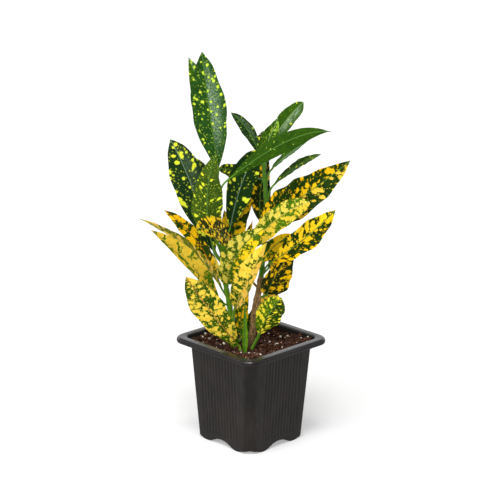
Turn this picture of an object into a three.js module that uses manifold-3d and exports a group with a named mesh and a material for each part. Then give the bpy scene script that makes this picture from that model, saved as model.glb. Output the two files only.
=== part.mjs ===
// Potted croton: a square plastic nursery pot, its soil, two leafy stems and a young shoot.
// Millimetres, +Z up. The pot's sides lie along X and Y, and the origin is the middle of its base.
import * as THREE from 'three';
import Module from 'manifold-3d';

const wasm = await Module();
wasm.setup();

// Pot
const RIM_HALF = 51;
const RIM_CORNER = 12.1;
const RIM_CORNER_EASE = 0.3;
const RIM_TOP = 95.4;
const SKIRT = 4.9;
const BASE_HALF = 36.2;
const NECK_HALF = 41.8;
const BASE_CHAMFER = 7.7;
const NECK_CHAMFER = 7.2;
const WALL = 1.4;
const FLOOR_UNDER = 7;
const FLOOR_TOP = 8.5;
const CENTRE_FOOT_RADIUS = 6;
const DRAIN_RADIUS = 4.5;
const DRAIN_OFFSET = 18;
const GROOVES = 12;
const GROOVE_PITCH = 3.85;
const GROOVE_WIDTH = 1.9;
const GROOVE_DEPTH = 0.5;
const GROOVE_LOW = 8.5;
const GROOVE_HIGH = 89;

// Lower edge of the pot's wall: distance from the middle of a face or of a corner, and height.
const FACE_ARCH = [[0, 5.4], [2.5, 5.3], [6, 4.3], [10, 2.3], [14, 0.6], [17, 0]];
const CORNER_ARCH = [[0, 3.3], [4, 3.2], [5.4, 2.8], [7.9, 1.2], [9.7, 0.3], [11.5, 0]];

// Soil
const SEAT_GAP = 0.3;
const SOIL_LEVEL = 87.5;
const SOIL_RINGS = 9;
const HOLE_BOTTOM = 73.7;

// Leaves
const RIB_THICKNESS = 1.2;
const MARGIN_THICKNESS = 0.65;
const LEAF_STEPS = 9;
const ACROSS = [-1, -0.5, 0, 0.5, 1];
const PETIOLE_RADIUS = 1.1;
const PETIOLE_SIDES = 5;
const PETIOLE_STEPS = 3;
const STEM_SIDES = 8;

// Plant points are given as seen from the pot's front corner: x to the right, y to the back, z up.
const VIEW_TURN = Math.PI / 4;
const FACING = new THREE.Vector3(0, -0.957, 0.291);

// Stem lines: x, y, z and radius.
const STEM_LINES = {
  left: [
    [-10, -8, 74, 2.6], [-10, -8, 88, 2.6], [-14, -6, 103.5, 2.3], [-18, -4, 120, 2.1],
    [-20.5, -3, 132, 2], [-22.5, -2, 142, 1.9], [-25.5, 0, 158, 1.8], [-26, 0, 175, 1.7],
    [-27.5, 2, 190, 1.6], [-29, 3, 208.5, 1.5], [-30.5, 3, 227, 1.4], [-31, 3, 242.5, 1.2],
    [-30.5, 4, 249.5, 0.9],
  ],
  right: [
    [0, -10, 74, 3], [0, -10, 88, 3], [1.5, -8, 104.5, 2.8], [3, -6, 121, 2.5],
    [5.5, -4, 133.5, 2.5], [7.5, -2, 145, 2.4], [9.5, 0, 160.5, 2.2], [11, 0, 177, 2],
    [12, 1, 195.5, 1.9], [12.5, 2, 212, 1.8], [12, 2, 227.5, 1.7], [11, 3, 241, 1.6],
    [10, 4, 255, 1.4], [10, 5, 262, 1],
  ],
};

// Each leaf: name, stem, where its stalk leaves the stem, blade base, blade middle, tip,
// then width, widest place (0 base, 1 tip), taper towards base and tip, fold in degrees,
// turn about its length at base and tip in degrees, edge wave height and number of waves.
const LEAVES = [
  ['crown', 'left', [-30.5, 3, 239.5], [-30, 4, 251], [-38, 14, 298.5], [-45, 26, 350.5],
    33, 0.52, 0.85, 0.68, 24, 0, 0, 0.8, 3],
  ['crown_rear', 'left', [-30.5, 4, 235], [-32, 12, 256.5], [-42, 28, 302.5], [-57.5, 40, 343],
    19, 0.58, 0.9, 0.9, 10, -5, -5, 0.6, 2],
  ['broad_left', 'left', [-27, 0, 163.5], [-33, 2, 174.5], [-53, 13, 230.5], [-73, 22, 272.5],
    32, 0.55, 0.72, 0.74, 12, 0, 0, 1.2, 3],
  ['olive_upright', 'left', [-26.5, -2, 170], [-33.5, -5, 191.5], [-39.5, -11, 226],
    [-31.5, -14, 269.5], 28, 0.42, 0.75, 0.9, 10, 180, 180, 0.8, 2],
  ['toward_viewer', 'left', [-25.5, -3, 179], [-18.5, -16, 190.5], [-32, -43, 207],
    [-47, -76, 219], 26, 0.5, 0.9, 0.7, 12, 35, 35, 1, 2],
  ['small_left_pointing', 'right', [11, 3, 240], [-5, 26, 236.5], [-17, 33, 241],
    [-30.5, 39, 241.5], 13.5, 0.5, 0.7, 0.55, 8, 20, 20, 0.6, 2],
  ['centre_dark', 'left', [-26.5, 1, 186], [-19.5, 3, 195.5], [-9.5, 6, 236],
    [4.5, 8, 267], 25, 0.57, 0.8, 0.6, 16, 0, 0, 0.6, 2],
  ['centre_gold', 'left', [-26.5, 2, 172.5], [-17, 8, 181], [-12.5, 14, 200],
    [1, 20, 220.5], 18, 0.36, 0.6, 0.8, 10, 0, 0, 0.6, 2],
  ['centre_sliver', 'left', [-26.5, 4, 174], [-20.5, 14, 182], [-22.5, 20, 193.5],
    [-25, 26, 206.5], 10, 0.4, 0.8, 0.8, 8, 0, 0, 0.6, 2],
  ['top_left_small', 'right', [10, 4, 256], [5.3, 15, 262.7], [-4.7, 21, 282.2],
    [-19.5, 29, 295.5], 11, 0.5, 0.6, 0.75, 8, 0, 0, 0.3, 2],
  ['behind_right_stem', 'right', [11, 2, 180.5], [7, 12, 200.5], [8, 20, 231.5],
    [14, 26, 260], 18, 0.36, 0.8, 1, 12, 0, 0, 0.8, 2],
  ['long_arch', 'left', [-30, -2, 205], [-22.5, -10, 243], [28.5, -28, 283],
    [67, -40, 295.5], 16.5, 0.48, 0.85, 1.25, 10, 180, 180, 0.3, 2],
  ['top_right_round', 'right', [10, 5, 258.5], [14.5, 12, 269], [28.8, 20, 290.2],
    [44.7, 30, 305.3], 15, 0.6, 0.7, 0.55, 10, 0, 0, 0.6, 2],
  ['top_middle', 'right', [10, 4, 254.5], [7.5, 3, 264], [14, 3, 277.5],
    [22, 6, 296.5], 15, 0.48, 0.6, 0.8, 12, 10, 10, 1.2, 3],
  ['narrow_upper', 'right', [12.5, 3, 226.5], [16.5, 4, 250], [29.3, 5, 262.3],
    [49, 6, 276.5], 13, 0.5, 0.9, 0.8, 8, -70, -62, 0.3, 2],
  ['narrow_lower', 'right', [13, 2, 213.5], [19.5, 2, 237.5], [40, 6, 253.5],
    [60.5, 10, 263], 18, 0.48, 0.8, 0.7, 8, -70, -68, 0.3, 2],
  ['big_upper_right', 'right', [12.5, 0, 182], [7.5, -4, 203.5], [46, -16, 232.6],
    [84.5, -28, 267], 33.5, 0.36, 0.45, 0.75, 14, -24, 8, 1.2, 4],
  ['pale_curled', 'left', [-26, -2, 164.5], [-1.5, -10, 183], [25, -20, 214],
    [50.5, -30, 229.5], 20.5, 0.48, 0.4, 0.45, 12, 0, 0, 0.6, 3],
  ['centre_pale', 'left', [-22.5, -3, 136.5], [-21, -8, 147.5], [-12, -20, 180.5],
    [11.5, -30, 206], 27, 0.5, 0.45, 0.8, 20, 0, 0, 0.8, 2],
  ['front_yellow', 'left', [-18.5, -5, 113], [-14.5, -12, 126.5], [-4, -28, 156],
    [13, -38, 195], 25, 0.52, 0.7, 0.7, 31, -31, -31, 0.5, 2],
  ['big_lower_right', 'right', [10, -2, 148], [17.5, -8, 168.5], [46, -20, 193.5],
    [72.5, -30, 223], 22.5, 0.54, 0.7, 0.75, 10, -5, -5, 1, 3],
  ['tan_behind', 'right', [10.5, 2, 158], [10, 6, 164], [20, 10, 178.8],
    [37, 14, 189], 17, 0.46, 0.6, 0.7, 8, 180, 180, 0.6, 2],
  ['orange_lower_right', 'right', [8.5, -3, 131.5], [14, -2, 137], [23.2, -4, 158],
    [38, -4, 181], 29.5, 0.3, 0.45, 0.85, 28, 28, 28, 0.6, 3],
  ['low_right', 'right', [1, -11, 93], [5.5, -20, 105], [14, -28, 127],
    [26.5, -32, 143], 25, 0.55, 0.75, 0.4, 14, 10, 10, 0.8, 2],
  ['low_centre', 'left', [-9, -8, 91], [-9, -6, 96], [-8.5, 2, 119],
    [-4, 8, 150], 12, 0.5, 0.8, 0.8, 10, 0, 0, 0.6, 2],
  ['low_dark', 'right', [0, -8, 92], [-1, -4, 95.5], [0, 4, 105],
    [4.5, 10, 123], 12, 0.5, 0.8, 0.8, 10, 0, 0, 0.6, 2],
  ['low_left_yellow', 'left', [-10.5, -9, 92], [-13.5, -14, 95], [-35, -32, 129],
    [-56.5, -48, 166.5], 28, 0.58, 0.75, 0.62, 12, 0, 0, 1, 3],
  ['left_mid', 'left', [-20, -5, 124], [-28, -10, 133], [-54.5, -27, 172],
    [-87, -42, 207], 20, 0.5, 1.0, 0.8, 34, 34, 34, 0.5, 3],
  ['left_long', 'left', [-21.5, -4, 129], [-26, -3, 141], [-54, -8, 179.6],
    [-98, -14, 209], 16, 0.5, 0.8, 0.9, 8, 62, 66, 0.4, 3],
  ['left_orange', 'left', [-24.5, -1, 148], [-31.5, 4, 152], [-51.8, 12, 184.8],
    [-78.5, 18, 208], 13.5, 0.5, 0.75, 0.75, 12, 5, 5, 0.5, 3],
  ['tip_behind_pale', 'left', [-24.5, -1, 150], [-18, 8, 162], [-8, 10, 178],
    [0.5, 12, 200.5], 9, 0.5, 0.8, 0.9, 10, 0, 0, 0.4, 2],
  ['rear_left_low', 'left', [-12, -7, 97], [-18, 6, 104], [-40, 36, 112],
    [-53, 67, 112], 24, 0.52, 0.7, 0.7, 12, 0, 0, 1.2, 3],
  ['rear_left_mid', 'left', [-22, -1, 140], [-28, 12, 147], [-49, 44, 156],
    [-74, 74, 163], 26, 0.5, 0.75, 0.75, 12, 0, 0, 1.2, 3],
  ['rear_left_high', 'left', [-27.5, 3, 195], [-33, 13, 206], [-50, 38, 232],
    [-70, 58, 250], 27, 0.52, 0.75, 0.8, 14, 0, 0, 1.2, 3],
  ['rear_right_low', 'right', [2, -6, 100], [7, 6, 106], [16, 36, 113],
    [24, 66, 114], 22, 0.5, 0.7, 0.7, 12, 0, 0, 1.2, 3],
  ['rear_right_mid', 'right', [9, 1, 150], [15, 13, 156], [31, 46, 164],
    [44.5, 76, 165], 23, 0.5, 0.75, 0.75, 12, 0, 0, 1.2, 3],
  ['rear_right_high', 'right', [12.5, 3, 196], [22, 13, 204], [42, 38, 213],
    [58, 62, 212], 25, 0.5, 0.75, 0.8, 12, 0, 0, 1.2, 3],
  ['rear_top', 'right', [11, 4, 246], [12, 16, 252], [12, 42, 263],
    [9, 66, 270], 20, 0.52, 0.75, 0.8, 12, 0, 0, 1, 3],
];

const SHOOT_LINE = [[-6, -25, 76], [-6, -25, 88], [-6, -22.5, 108], [-6, -18, 134]];

const MATERIALS = {
  pot: [0x33302e, 0.5],
  soil: [0x3a241b, 0.95],
  leaf: [0x4d6b1f, 0.4],
  shoot: [0x5f9a2a, 0.45],
};

const point = (p) => new THREE.Vector3(p[0], p[1], p[2]);
const mix = (a, b, t) => a.clone().lerp(b, t);

// Closed solid from shared corners and triangles, turned right side out.
function solid(points, triangles) {
  const vertProperties = new Float32Array(points.flatMap((p) => [p.x, p.y, p.z]));
  let volume = 0;
  for (const [a, b, c] of triangles) {
    volume += points[a].dot(points[b].clone().cross(points[c]));
  }
  const facing = volume > 0 ? triangles : triangles.map(([a, b, c]) => [a, c, b]);
  const triVerts = new Uint32Array(facing.flat());
  return new wasm.Manifold(new wasm.Mesh({ numProp: 3, vertProperties, triVerts }));
}

// Solid through a list of rings with the same number of corners, closed at both ends.
function loft(rings) {
  const count = rings[0].length;
  const points = rings.flat();
  const triangles = [];
  for (let r = 0; r + 1 < rings.length; r += 1) {
    for (let i = 0; i < count; i += 1) {
      const a = r * count + i;
      const b = r * count + ((i + 1) % count);
      triangles.push([a, b, b + count], [a, b + count, a + count]);
    }
  }
  for (const [start, turn] of [[0, 1], [(rings.length - 1) * count, -1]]) {
    const middle = new THREE.Vector3();
    for (let i = 0; i < count; i += 1) middle.addScaledVector(points[start + i], 1 / count);
    points.push(middle);
    for (let i = 0; i < count; i += 1) {
      const a = start + i;
      const b = start + ((i + 1) % count);
      triangles.push(turn > 0 ? [b, a, points.length - 1] : [a, b, points.length - 1]);
    }
  }
  return solid(points, triangles);
}

// Square outline with cut corners.
function octagon(half, chamfer, z) {
  const c = half - chamfer;
  const corners = [[half, -c], [half, c], [c, half], [-c, half], [-half, c], [-half, -c],
    [-c, -half], [c, -half]];
  return corners.map(([x, y]) => new THREE.Vector3(x, y, z));
}

// Square outline with rounded corners.
function rounded(half, radius, z, steps) {
  const ring = [];
  for (let corner = 0; corner < 4; corner += 1) {
    const middle = (corner + 0.5) * Math.PI / 2;
    const cx = Math.SQRT2 * (half - radius) * Math.cos(middle);
    const cy = Math.SQRT2 * (half - radius) * Math.sin(middle);
    for (let i = 0; i <= steps; i += 1) {
      const a = corner * Math.PI / 2 + (i / steps) * Math.PI / 2;
      ring.push(new THREE.Vector3(cx + radius * Math.cos(a), cy + radius * Math.sin(a), z));
    }
  }
  return ring;
}

function wallHalf(z) {
  return BASE_HALF + (NECK_HALF - BASE_HALF) * z / (RIM_TOP - SKIRT);
}

function chamferAt(z) {
  return BASE_CHAMFER + (NECK_CHAMFER - BASE_CHAMFER) * z / (RIM_TOP - SKIRT);
}

function bodyRing(z, inset) {
  return octagon(wallHalf(z) - inset, chamferAt(z) - inset * (2 - Math.SQRT2), z);
}

// Ring solid swept along the rounded square: the section is half side and height pairs.
function rimRing() {
  const low = RIM_TOP - SKIRT;
  const section = [
    [NECK_HALF - WALL, low - 1], [NECK_HALF - 1, low + 2], [RIM_HALF - 8.2, RIM_TOP - 0.5],
    [RIM_HALF - 7, RIM_TOP], [RIM_HALF - 1.8, RIM_TOP], [RIM_HALF - 0.6, RIM_TOP - 0.6],
    [RIM_HALF, RIM_TOP - 1.9], [RIM_HALF - 0.1, low + 0.6], [RIM_HALF - 0.6, low],
    [RIM_HALF - 1.5, low], [RIM_HALF - 1.7, RIM_TOP - 1.7], [NECK_HALF + 0.4, RIM_TOP - 1.7],
    [NECK_HALF - 0.1, low - 1],
  ];
  const steps = 6;
  const rings = section.map(([half, z]) => {
    const radius = RIM_CORNER - RIM_CORNER_EASE * (RIM_HALF - half);
    return rounded(half, radius, z, steps);
  });
  const count = rings[0].length;
  const points = rings.flat();
  const triangles = [];
  for (let r = 0; r < rings.length; r += 1) {
    const next = ((r + 1) % rings.length) * count;
    for (let i = 0; i < count; i += 1) {
      const j = (i + 1) % count;
      const a = r * count;
      triangles.push([a + i, a + j, next + j], [a + i, next + j, next + i]);
    }
  }
  return solid(points, triangles);
}

// Straight bar with a closed outline in X and Z, running along Y.
function bar(outline, from, to) {
  const near = outline.map(([x, z]) => new THREE.Vector3(x, from, z));
  const far = outline.map(([x, z]) => new THREE.Vector3(x, to, z));
  return loft([near, far]);
}

// Outline of an opening at the lower edge, with its two sides alike.
function archOutline(side) {
  const reach = side.at(-1)[0];
  const right = side.slice(1).reverse();
  const left = side.slice(1).map(([x, z]) => [-x, z]);
  return [[-reach, -1], [reach, -1], ...right, side[0], ...left];
}

function disc(radius, low, high, x, y, sides) {
  const ring = (z) => Array.from({ length: sides }, (_, i) => {
    const a = 2 * Math.PI * i / sides;
    return new THREE.Vector3(x + radius * Math.cos(a), y + radius * Math.sin(a), z);
  });
  return loft([ring(low), ring(high)]);
}

function turned(shape, quarter) {
  return shape.rotate([0, 0, quarter * 90]);
}

function makePot() {
  const low = RIM_TOP - SKIRT;
  let pot = loft([bodyRing(0, 0), bodyRing(low + 2, 0)]);
  pot = pot.subtract(loft([bodyRing(FLOOR_TOP, WALL), bodyRing(low + 5, WALL)]));
  pot = pot.subtract(loft([bodyRing(-1, WALL + 0.4), bodyRing(FLOOR_UNDER, WALL)]));
  pot = pot.add(rimRing());
  const arch = archOutline(FACE_ARCH);
  const cornerArch = archOutline(CORNER_ARCH);
  const lean = Math.atan((NECK_HALF - BASE_HALF) / low);
  const long = (GROOVE_HIGH - GROOVE_LOW) / Math.cos(lean);
  for (let side = 0; side < 4; side += 1) {
    pot = pot.subtract(turned(bar(arch, -BASE_HALF - 5, -BASE_HALF + 5), side));
    pot = pot.subtract(bar(cornerArch, -BASE_HALF * 1.5, -BASE_HALF).rotate([0, 0, side * 90 + 45]));
    for (let g = 0; g < GROOVES; g += 1) {
      const x = (g - (GROOVES - 1) / 2) * GROOVE_PITCH;
      const groove = wasm.Manifold.cube([GROOVE_WIDTH, GROOVE_DEPTH + 1, long], false)
        .translate([x - GROOVE_WIDTH / 2, -1, 0])
        .rotate([lean * 180 / Math.PI, 0, 0])
        .translate([0, -wallHalf(GROOVE_LOW), GROOVE_LOW]);
      pot = pot.subtract(turned(groove, side));
    }
    const drain = disc(DRAIN_RADIUS, FLOOR_UNDER - 1, FLOOR_TOP + 1, DRAIN_OFFSET, DRAIN_OFFSET, 12);
    pot = pot.subtract(turned(drain, side));
  }
  return pot.add(disc(CENTRE_FOOT_RADIUS, 0, FLOOR_UNDER + 0.5, 0, 0, 20));
}

function soilHeight(x, y) {
  const swell = 1.1 * Math.sin(0.11 * x + 0.6) * Math.cos(0.09 * y - 0.4);
  const crumbs = 0.5 * Math.sin(0.43 * x + 1.7) * Math.sin(0.39 * y + 0.3);
  return SOIL_LEVEL + swell + crumbs;
}

function makeSoil(holes) {
  const low = FLOOR_TOP + SEAT_GAP;
  const rings = [bodyRing(low, WALL + SEAT_GAP + 0.1)];
  for (let k = SOIL_RINGS; k >= 1; k -= 1) {
    const scale = k / SOIL_RINGS;
    const edge = bodyRing(SOIL_LEVEL - 2, WALL + SEAT_GAP + 0.1);
    const ring = [];
    edge.forEach((corner, i) => {
      const next = edge[(i + 1) % edge.length];
      const parts = i % 2 === 0 ? 6 : 2;
      for (let s = 0; s < parts; s += 1) {
        const p = mix(corner, next, s / parts).multiplyScalar(scale);
        const sink = k === SOIL_RINGS ? 1.5 : 0;
        ring.push(new THREE.Vector3(p.x, p.y, soilHeight(p.x, p.y) - sink));
      }
    });
    rings.push(ring);
  }
  const count = rings[1].length;
  const bottom = [];
  rings[0].forEach((corner, i) => {
    const next = rings[0][(i + 1) % rings[0].length];
    const parts = i % 2 === 0 ? 6 : 2;
    for (let s = 0; s < parts; s += 1) bottom.push(mix(corner, next, s / parts));
  });
  rings[0] = bottom;
  if (bottom.length !== count) throw new Error('soil rings differ');
  let soil = loft(rings);
  for (const [x, y, radius] of holes) {
    const p = new THREE.Vector3(x, y, 0).applyAxisAngle(new THREE.Vector3(0, 0, 1), VIEW_TURN);
    soil = soil.subtract(disc(radius + SEAT_GAP, HOLE_BOTTOM, SOIL_LEVEL + 6, p.x, p.y, 10));
  }
  return soil;
}

// Round tube along a line of points with a radius at each.
function tube(line, radii, sides) {
  const rings = [];
  let side = new THREE.Vector3(1, 0, 0);
  line.forEach((p, i) => {
    const before = line[Math.max(i - 1, 0)];
    const after = line[Math.min(i + 1, line.length - 1)];
    const along = after.clone().sub(before).normalize();
    side = side.clone().addScaledVector(along, -side.dot(along)).normalize();
    const across = along.clone().cross(side);
    const ring = [];
    for (let s = 0; s < sides; s += 1) {
      const a = 2 * Math.PI * s / sides;
      ring.push(p.clone().addScaledVector(side, radii[i] * Math.cos(a))
        .addScaledVector(across, radii[i] * Math.sin(a)));
    }
    rings.push(ring);
  });
  return loft(rings);
}

function halfWidth(u, width, belly, baseTaper, tipTaper) {
  const rising = Math.sin(Math.PI / 2 * Math.min(u / belly, 1)) ** baseTaper;
  const falling = Math.cos(Math.PI / 2 * Math.max((u - belly) / (1 - belly), 0)) ** tipTaper;
  return width / 2 * (u < belly ? rising : falling);
}

// Nearest point on a stem's line.
function seat(from, stem) {
  let best = null;
  for (let i = 0; i + 1 < stem.length; i += 1) {
    const run = new THREE.Line3(point(stem[i]), point(stem[i + 1]));
    const near = run.closestPointToPoint(from, true, new THREE.Vector3());
    if (!best || near.distanceTo(from) < best.distanceTo(from)) best = near;
  }
  return best;
}

// Blade and stalk of one leaf.
function makeLeaf([, stem, rootAt, baseAt, middleAt, tipAt, width, belly, baseTaper, tipTaper,
  fold, turnBase, turnTip, wave, waves]) {
  const [base, middle, tip] = [baseAt, middleAt, tipAt].map(point);
  const root = seat(point(rootAt), STEM_LINES[stem]);
  const bend = middle.clone().multiplyScalar(2).sub(mix(base, tip, 0.5));
  const spine = (u) => mix(mix(base, bend, u), mix(bend, tip, u), u);
  const heading = (u) => mix(bend.clone().sub(base), tip.clone().sub(bend), u).normalize();
  const lift = Math.sin(THREE.MathUtils.degToRad(fold));
  const spread = Math.cos(THREE.MathUtils.degToRad(fold));
  const columns = ACROSS.length;
  const upper = [];
  const lower = [];
  for (let i = 0; i <= LEAF_STEPS; i += 1) {
    const u = i / LEAF_STEPS;
    const along = heading(u);
    const out = FACING.clone().addScaledVector(along, -FACING.dot(along)).normalize();
    const turn = THREE.MathUtils.degToRad(turnBase + (turnTip - turnBase) * u);
    const normal = out.clone().multiplyScalar(Math.cos(turn))
      .addScaledVector(along.clone().cross(out), Math.sin(turn));
    const side = along.clone().cross(normal);
    const reach = Math.max(halfWidth(u, width, belly, baseTaper, tipTaper), i === 0 ? 0.9 : 0.45);
    for (const v of ACROSS) {
      const phase = 2 * Math.PI * (waves * u + (v > 0 ? 0.37 : 0));
      const ripple = wave * Math.sin(phase) * Math.sin(Math.PI * u) * v * v;
      const p = spine(u).addScaledVector(side, v * reach * spread)
        .addScaledVector(normal, Math.abs(v) * reach * lift + ripple);
      const thick = MARGIN_THICKNESS + (RIB_THICKNESS - MARGIN_THICKNESS) * (1 - Math.abs(v)) ** 2;
      upper.push(p.clone().addScaledVector(normal, thick / 2));
      lower.push(p.clone().addScaledVector(normal, -thick / 2));
    }
  }
  const triangles = [];
  const under = upper.length;
  for (let i = 0; i < LEAF_STEPS; i += 1) {
    for (let j = 0; j + 1 < columns; j += 1) {
      const a = i * columns + j;
      const b = a + columns;
      triangles.push([a, a + 1, b + 1], [a, b + 1, b]);
      triangles.push([under + a, under + b + 1, under + a + 1], [under + a, under + b, under + b + 1]);
    }
    for (const [a, turn] of [[i * columns, 1], [i * columns + columns - 1, -1]]) {
      const b = a + columns;
      const strip = [[a, b, under + b], [a, under + b, under + a]];
      triangles.push(...strip.map(([p, q, r]) => (turn > 0 ? [p, q, r] : [p, r, q])));
    }
  }
  for (const [row, turn] of [[0, -1], [LEAF_STEPS * columns, 1]]) {
    for (let j = 0; j + 1 < columns; j += 1) {
      const a = row + j;
      const strip = [[a, a + 1, under + a + 1], [a, under + a + 1, under + a]];
      triangles.push(...strip.map(([p, q, r]) => (turn > 0 ? [p, q, r] : [p, r, q])));
    }
  }
  const blade = solid([...upper, ...lower], triangles);
  const reachStalk = root.distanceTo(base);
  const rise = new THREE.Vector3(0, 0, 0.6).add(base.clone().sub(root).normalize()).normalize();
  const curve = new THREE.CubicBezierCurve3(
    root,
    root.clone().addScaledVector(rise, reachStalk / 3),
    base.clone().addScaledVector(heading(0), -reachStalk / 3),
    spine(0.06),
  );
  const line = curve.getPoints(PETIOLE_STEPS);
  const radii = line.map((_, i) => PETIOLE_RADIUS * (1 - 0.3 * i / PETIOLE_STEPS));
  return blade.add(tube(line, radii, PETIOLE_SIDES));
}

function makeStem(name) {
  const line = STEM_LINES[name];
  let stem = tube(line.map(point), line.map((p) => p[3]), STEM_SIDES);
  for (const entry of LEAVES.filter((leaf) => leaf[1] === name)) {
    stem = stem.add(makeLeaf(entry));
  }
  return stem.rotate([0, 0, 45]);
}

// Young folded leaf that stands in the soil in front of the stems.
function makeShoot() {
  const line = SHOOT_LINE.map(point);
  const curve = new THREE.CatmullRomCurve3(line);
  const points = curve.getPoints(8);
  const radii = [1.6, 1.7, 1.9, 2.2, 2.2, 1.9, 1.5, 1.1, 0.7];
  return tube(points, radii, 6).rotate([0, 0, 45]);
}

function mesh(name, shape, [colour, roughness]) {
  const { vertProperties, triVerts, numProp } = shape.getMesh();
  const positions = [];
  for (const index of triVerts) {
    for (let k = 0; k < 3; k += 1) positions.push(vertProperties[index * numProp + k]);
  }
  const geometry = new THREE.BufferGeometry();
  geometry.setAttribute('position', new THREE.Float32BufferAttribute(positions, 3));
  geometry.computeVertexNormals();
  const material = new THREE.MeshStandardMaterial({ color: colour, roughness, metalness: 0 });
  const piece = new THREE.Mesh(geometry, material);
  piece.name = name;
  return piece;
}

const holes = [
  [...STEM_LINES.left[0].slice(0, 2), STEM_LINES.left[0][3]],
  [...STEM_LINES.right[0].slice(0, 2), STEM_LINES.right[0][3]],
  [SHOOT_LINE[0][0], SHOOT_LINE[0][1], 2.2],
];

const group = new THREE.Group();
group.name = 'potted_croton';
group.add(mesh('pot', makePot(), MATERIALS.pot));
group.add(mesh('soil', makeSoil(holes), MATERIALS.soil));
group.add(mesh('stem_left', makeStem('left'), MATERIALS.leaf));
group.add(mesh('stem_right', makeStem('right'), MATERIALS.leaf));
group.add(mesh('shoot', makeShoot(), MATERIALS.shoot));

export default group;
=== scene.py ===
# Potted croton: two leafy stems and a young shoot in a square plastic nursery pot of soil.
import math
import random

import bmesh
import bpy
from mathutils import Matrix, Vector, noise


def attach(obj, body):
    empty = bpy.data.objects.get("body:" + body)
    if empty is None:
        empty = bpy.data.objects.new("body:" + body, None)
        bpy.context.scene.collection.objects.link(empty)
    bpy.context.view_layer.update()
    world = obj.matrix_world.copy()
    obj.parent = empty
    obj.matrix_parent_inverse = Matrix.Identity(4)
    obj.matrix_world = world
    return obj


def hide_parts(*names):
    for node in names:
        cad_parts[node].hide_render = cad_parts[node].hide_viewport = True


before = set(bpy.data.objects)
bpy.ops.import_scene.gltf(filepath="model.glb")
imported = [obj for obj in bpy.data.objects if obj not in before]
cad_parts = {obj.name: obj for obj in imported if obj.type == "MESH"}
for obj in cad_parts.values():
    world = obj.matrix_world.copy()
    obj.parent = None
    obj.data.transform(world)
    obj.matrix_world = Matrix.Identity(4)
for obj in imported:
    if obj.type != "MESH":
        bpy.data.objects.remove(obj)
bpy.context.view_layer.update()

# Sizes are in millimetres unless a comment says otherwise, and Blender works in metres.
MM = 0.001
BODY = "root"

# Points of the plant are given as seen from the pot's front corner: x to the right, y to the back,
# z up. This turn brings them into the pot's own frame.
VIEW_TURN = Matrix.Rotation(math.radians(45), 3, "Z")
# Direction towards the viewer, which the face of an unturned leaf looks in
FACING = Vector((0, -0.957, 0.291))

# Camera: its angles in degrees, the point it looks at and how far off it is, its lens and sensor
CAMERA_TURN = 45.288
CAMERA_PITCH = 16.926
CAMERA_ROLL = 0.428
CAMERA_TARGET = (-1.48, 0, 177.09)
CAMERA_DISTANCE = 1781.28
CAMERA_LENS = 144
CAMERA_SENSOR = 36
# Nearest and furthest thing it sees, in metres
CAMERA_RANGE = (0.05, 50)


def add_object(name, data):
    made = bpy.data.objects.new(name, data)
    bpy.context.scene.collection.objects.link(made)
    return made


def make_camera():
    turn, pitch, roll = [math.radians(angle) for angle in (CAMERA_TURN, CAMERA_PITCH, CAMERA_ROLL)]
    angle = turn - math.radians(90)
    back = Vector((math.cos(angle) * math.cos(pitch), math.sin(angle) * math.cos(pitch), math.sin(pitch)))
    level = Vector((math.cos(turn), math.sin(turn), 0))
    upward = back.cross(level)
    right = level * math.cos(roll) + upward * math.sin(roll)
    top = upward * math.cos(roll) - level * math.sin(roll)
    data = bpy.data.cameras.new("camera")
    data.lens = CAMERA_LENS
    data.sensor_width = CAMERA_SENSOR
    data.clip_start, data.clip_end = CAMERA_RANGE
    camera = add_object("camera", data)
    place = (VIEW_TURN @ Vector(CAMERA_TARGET) + back * CAMERA_DISTANCE) * MM
    axes = Matrix((right, top, back)).transposed()
    camera.matrix_world = Matrix.Translation(place) @ axes.to_4x4()
    bpy.context.scene.camera = camera


def linear(red, green, blue):
    """Colour from 0 to 255 values, as light."""
    parts = [c / 255 for c in (red, green, blue)]
    return tuple(c / 12.92 if c <= 0.04045 else ((c + 0.055) / 1.055) ** 2.4 for c in parts) + (1.0,)


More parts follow.
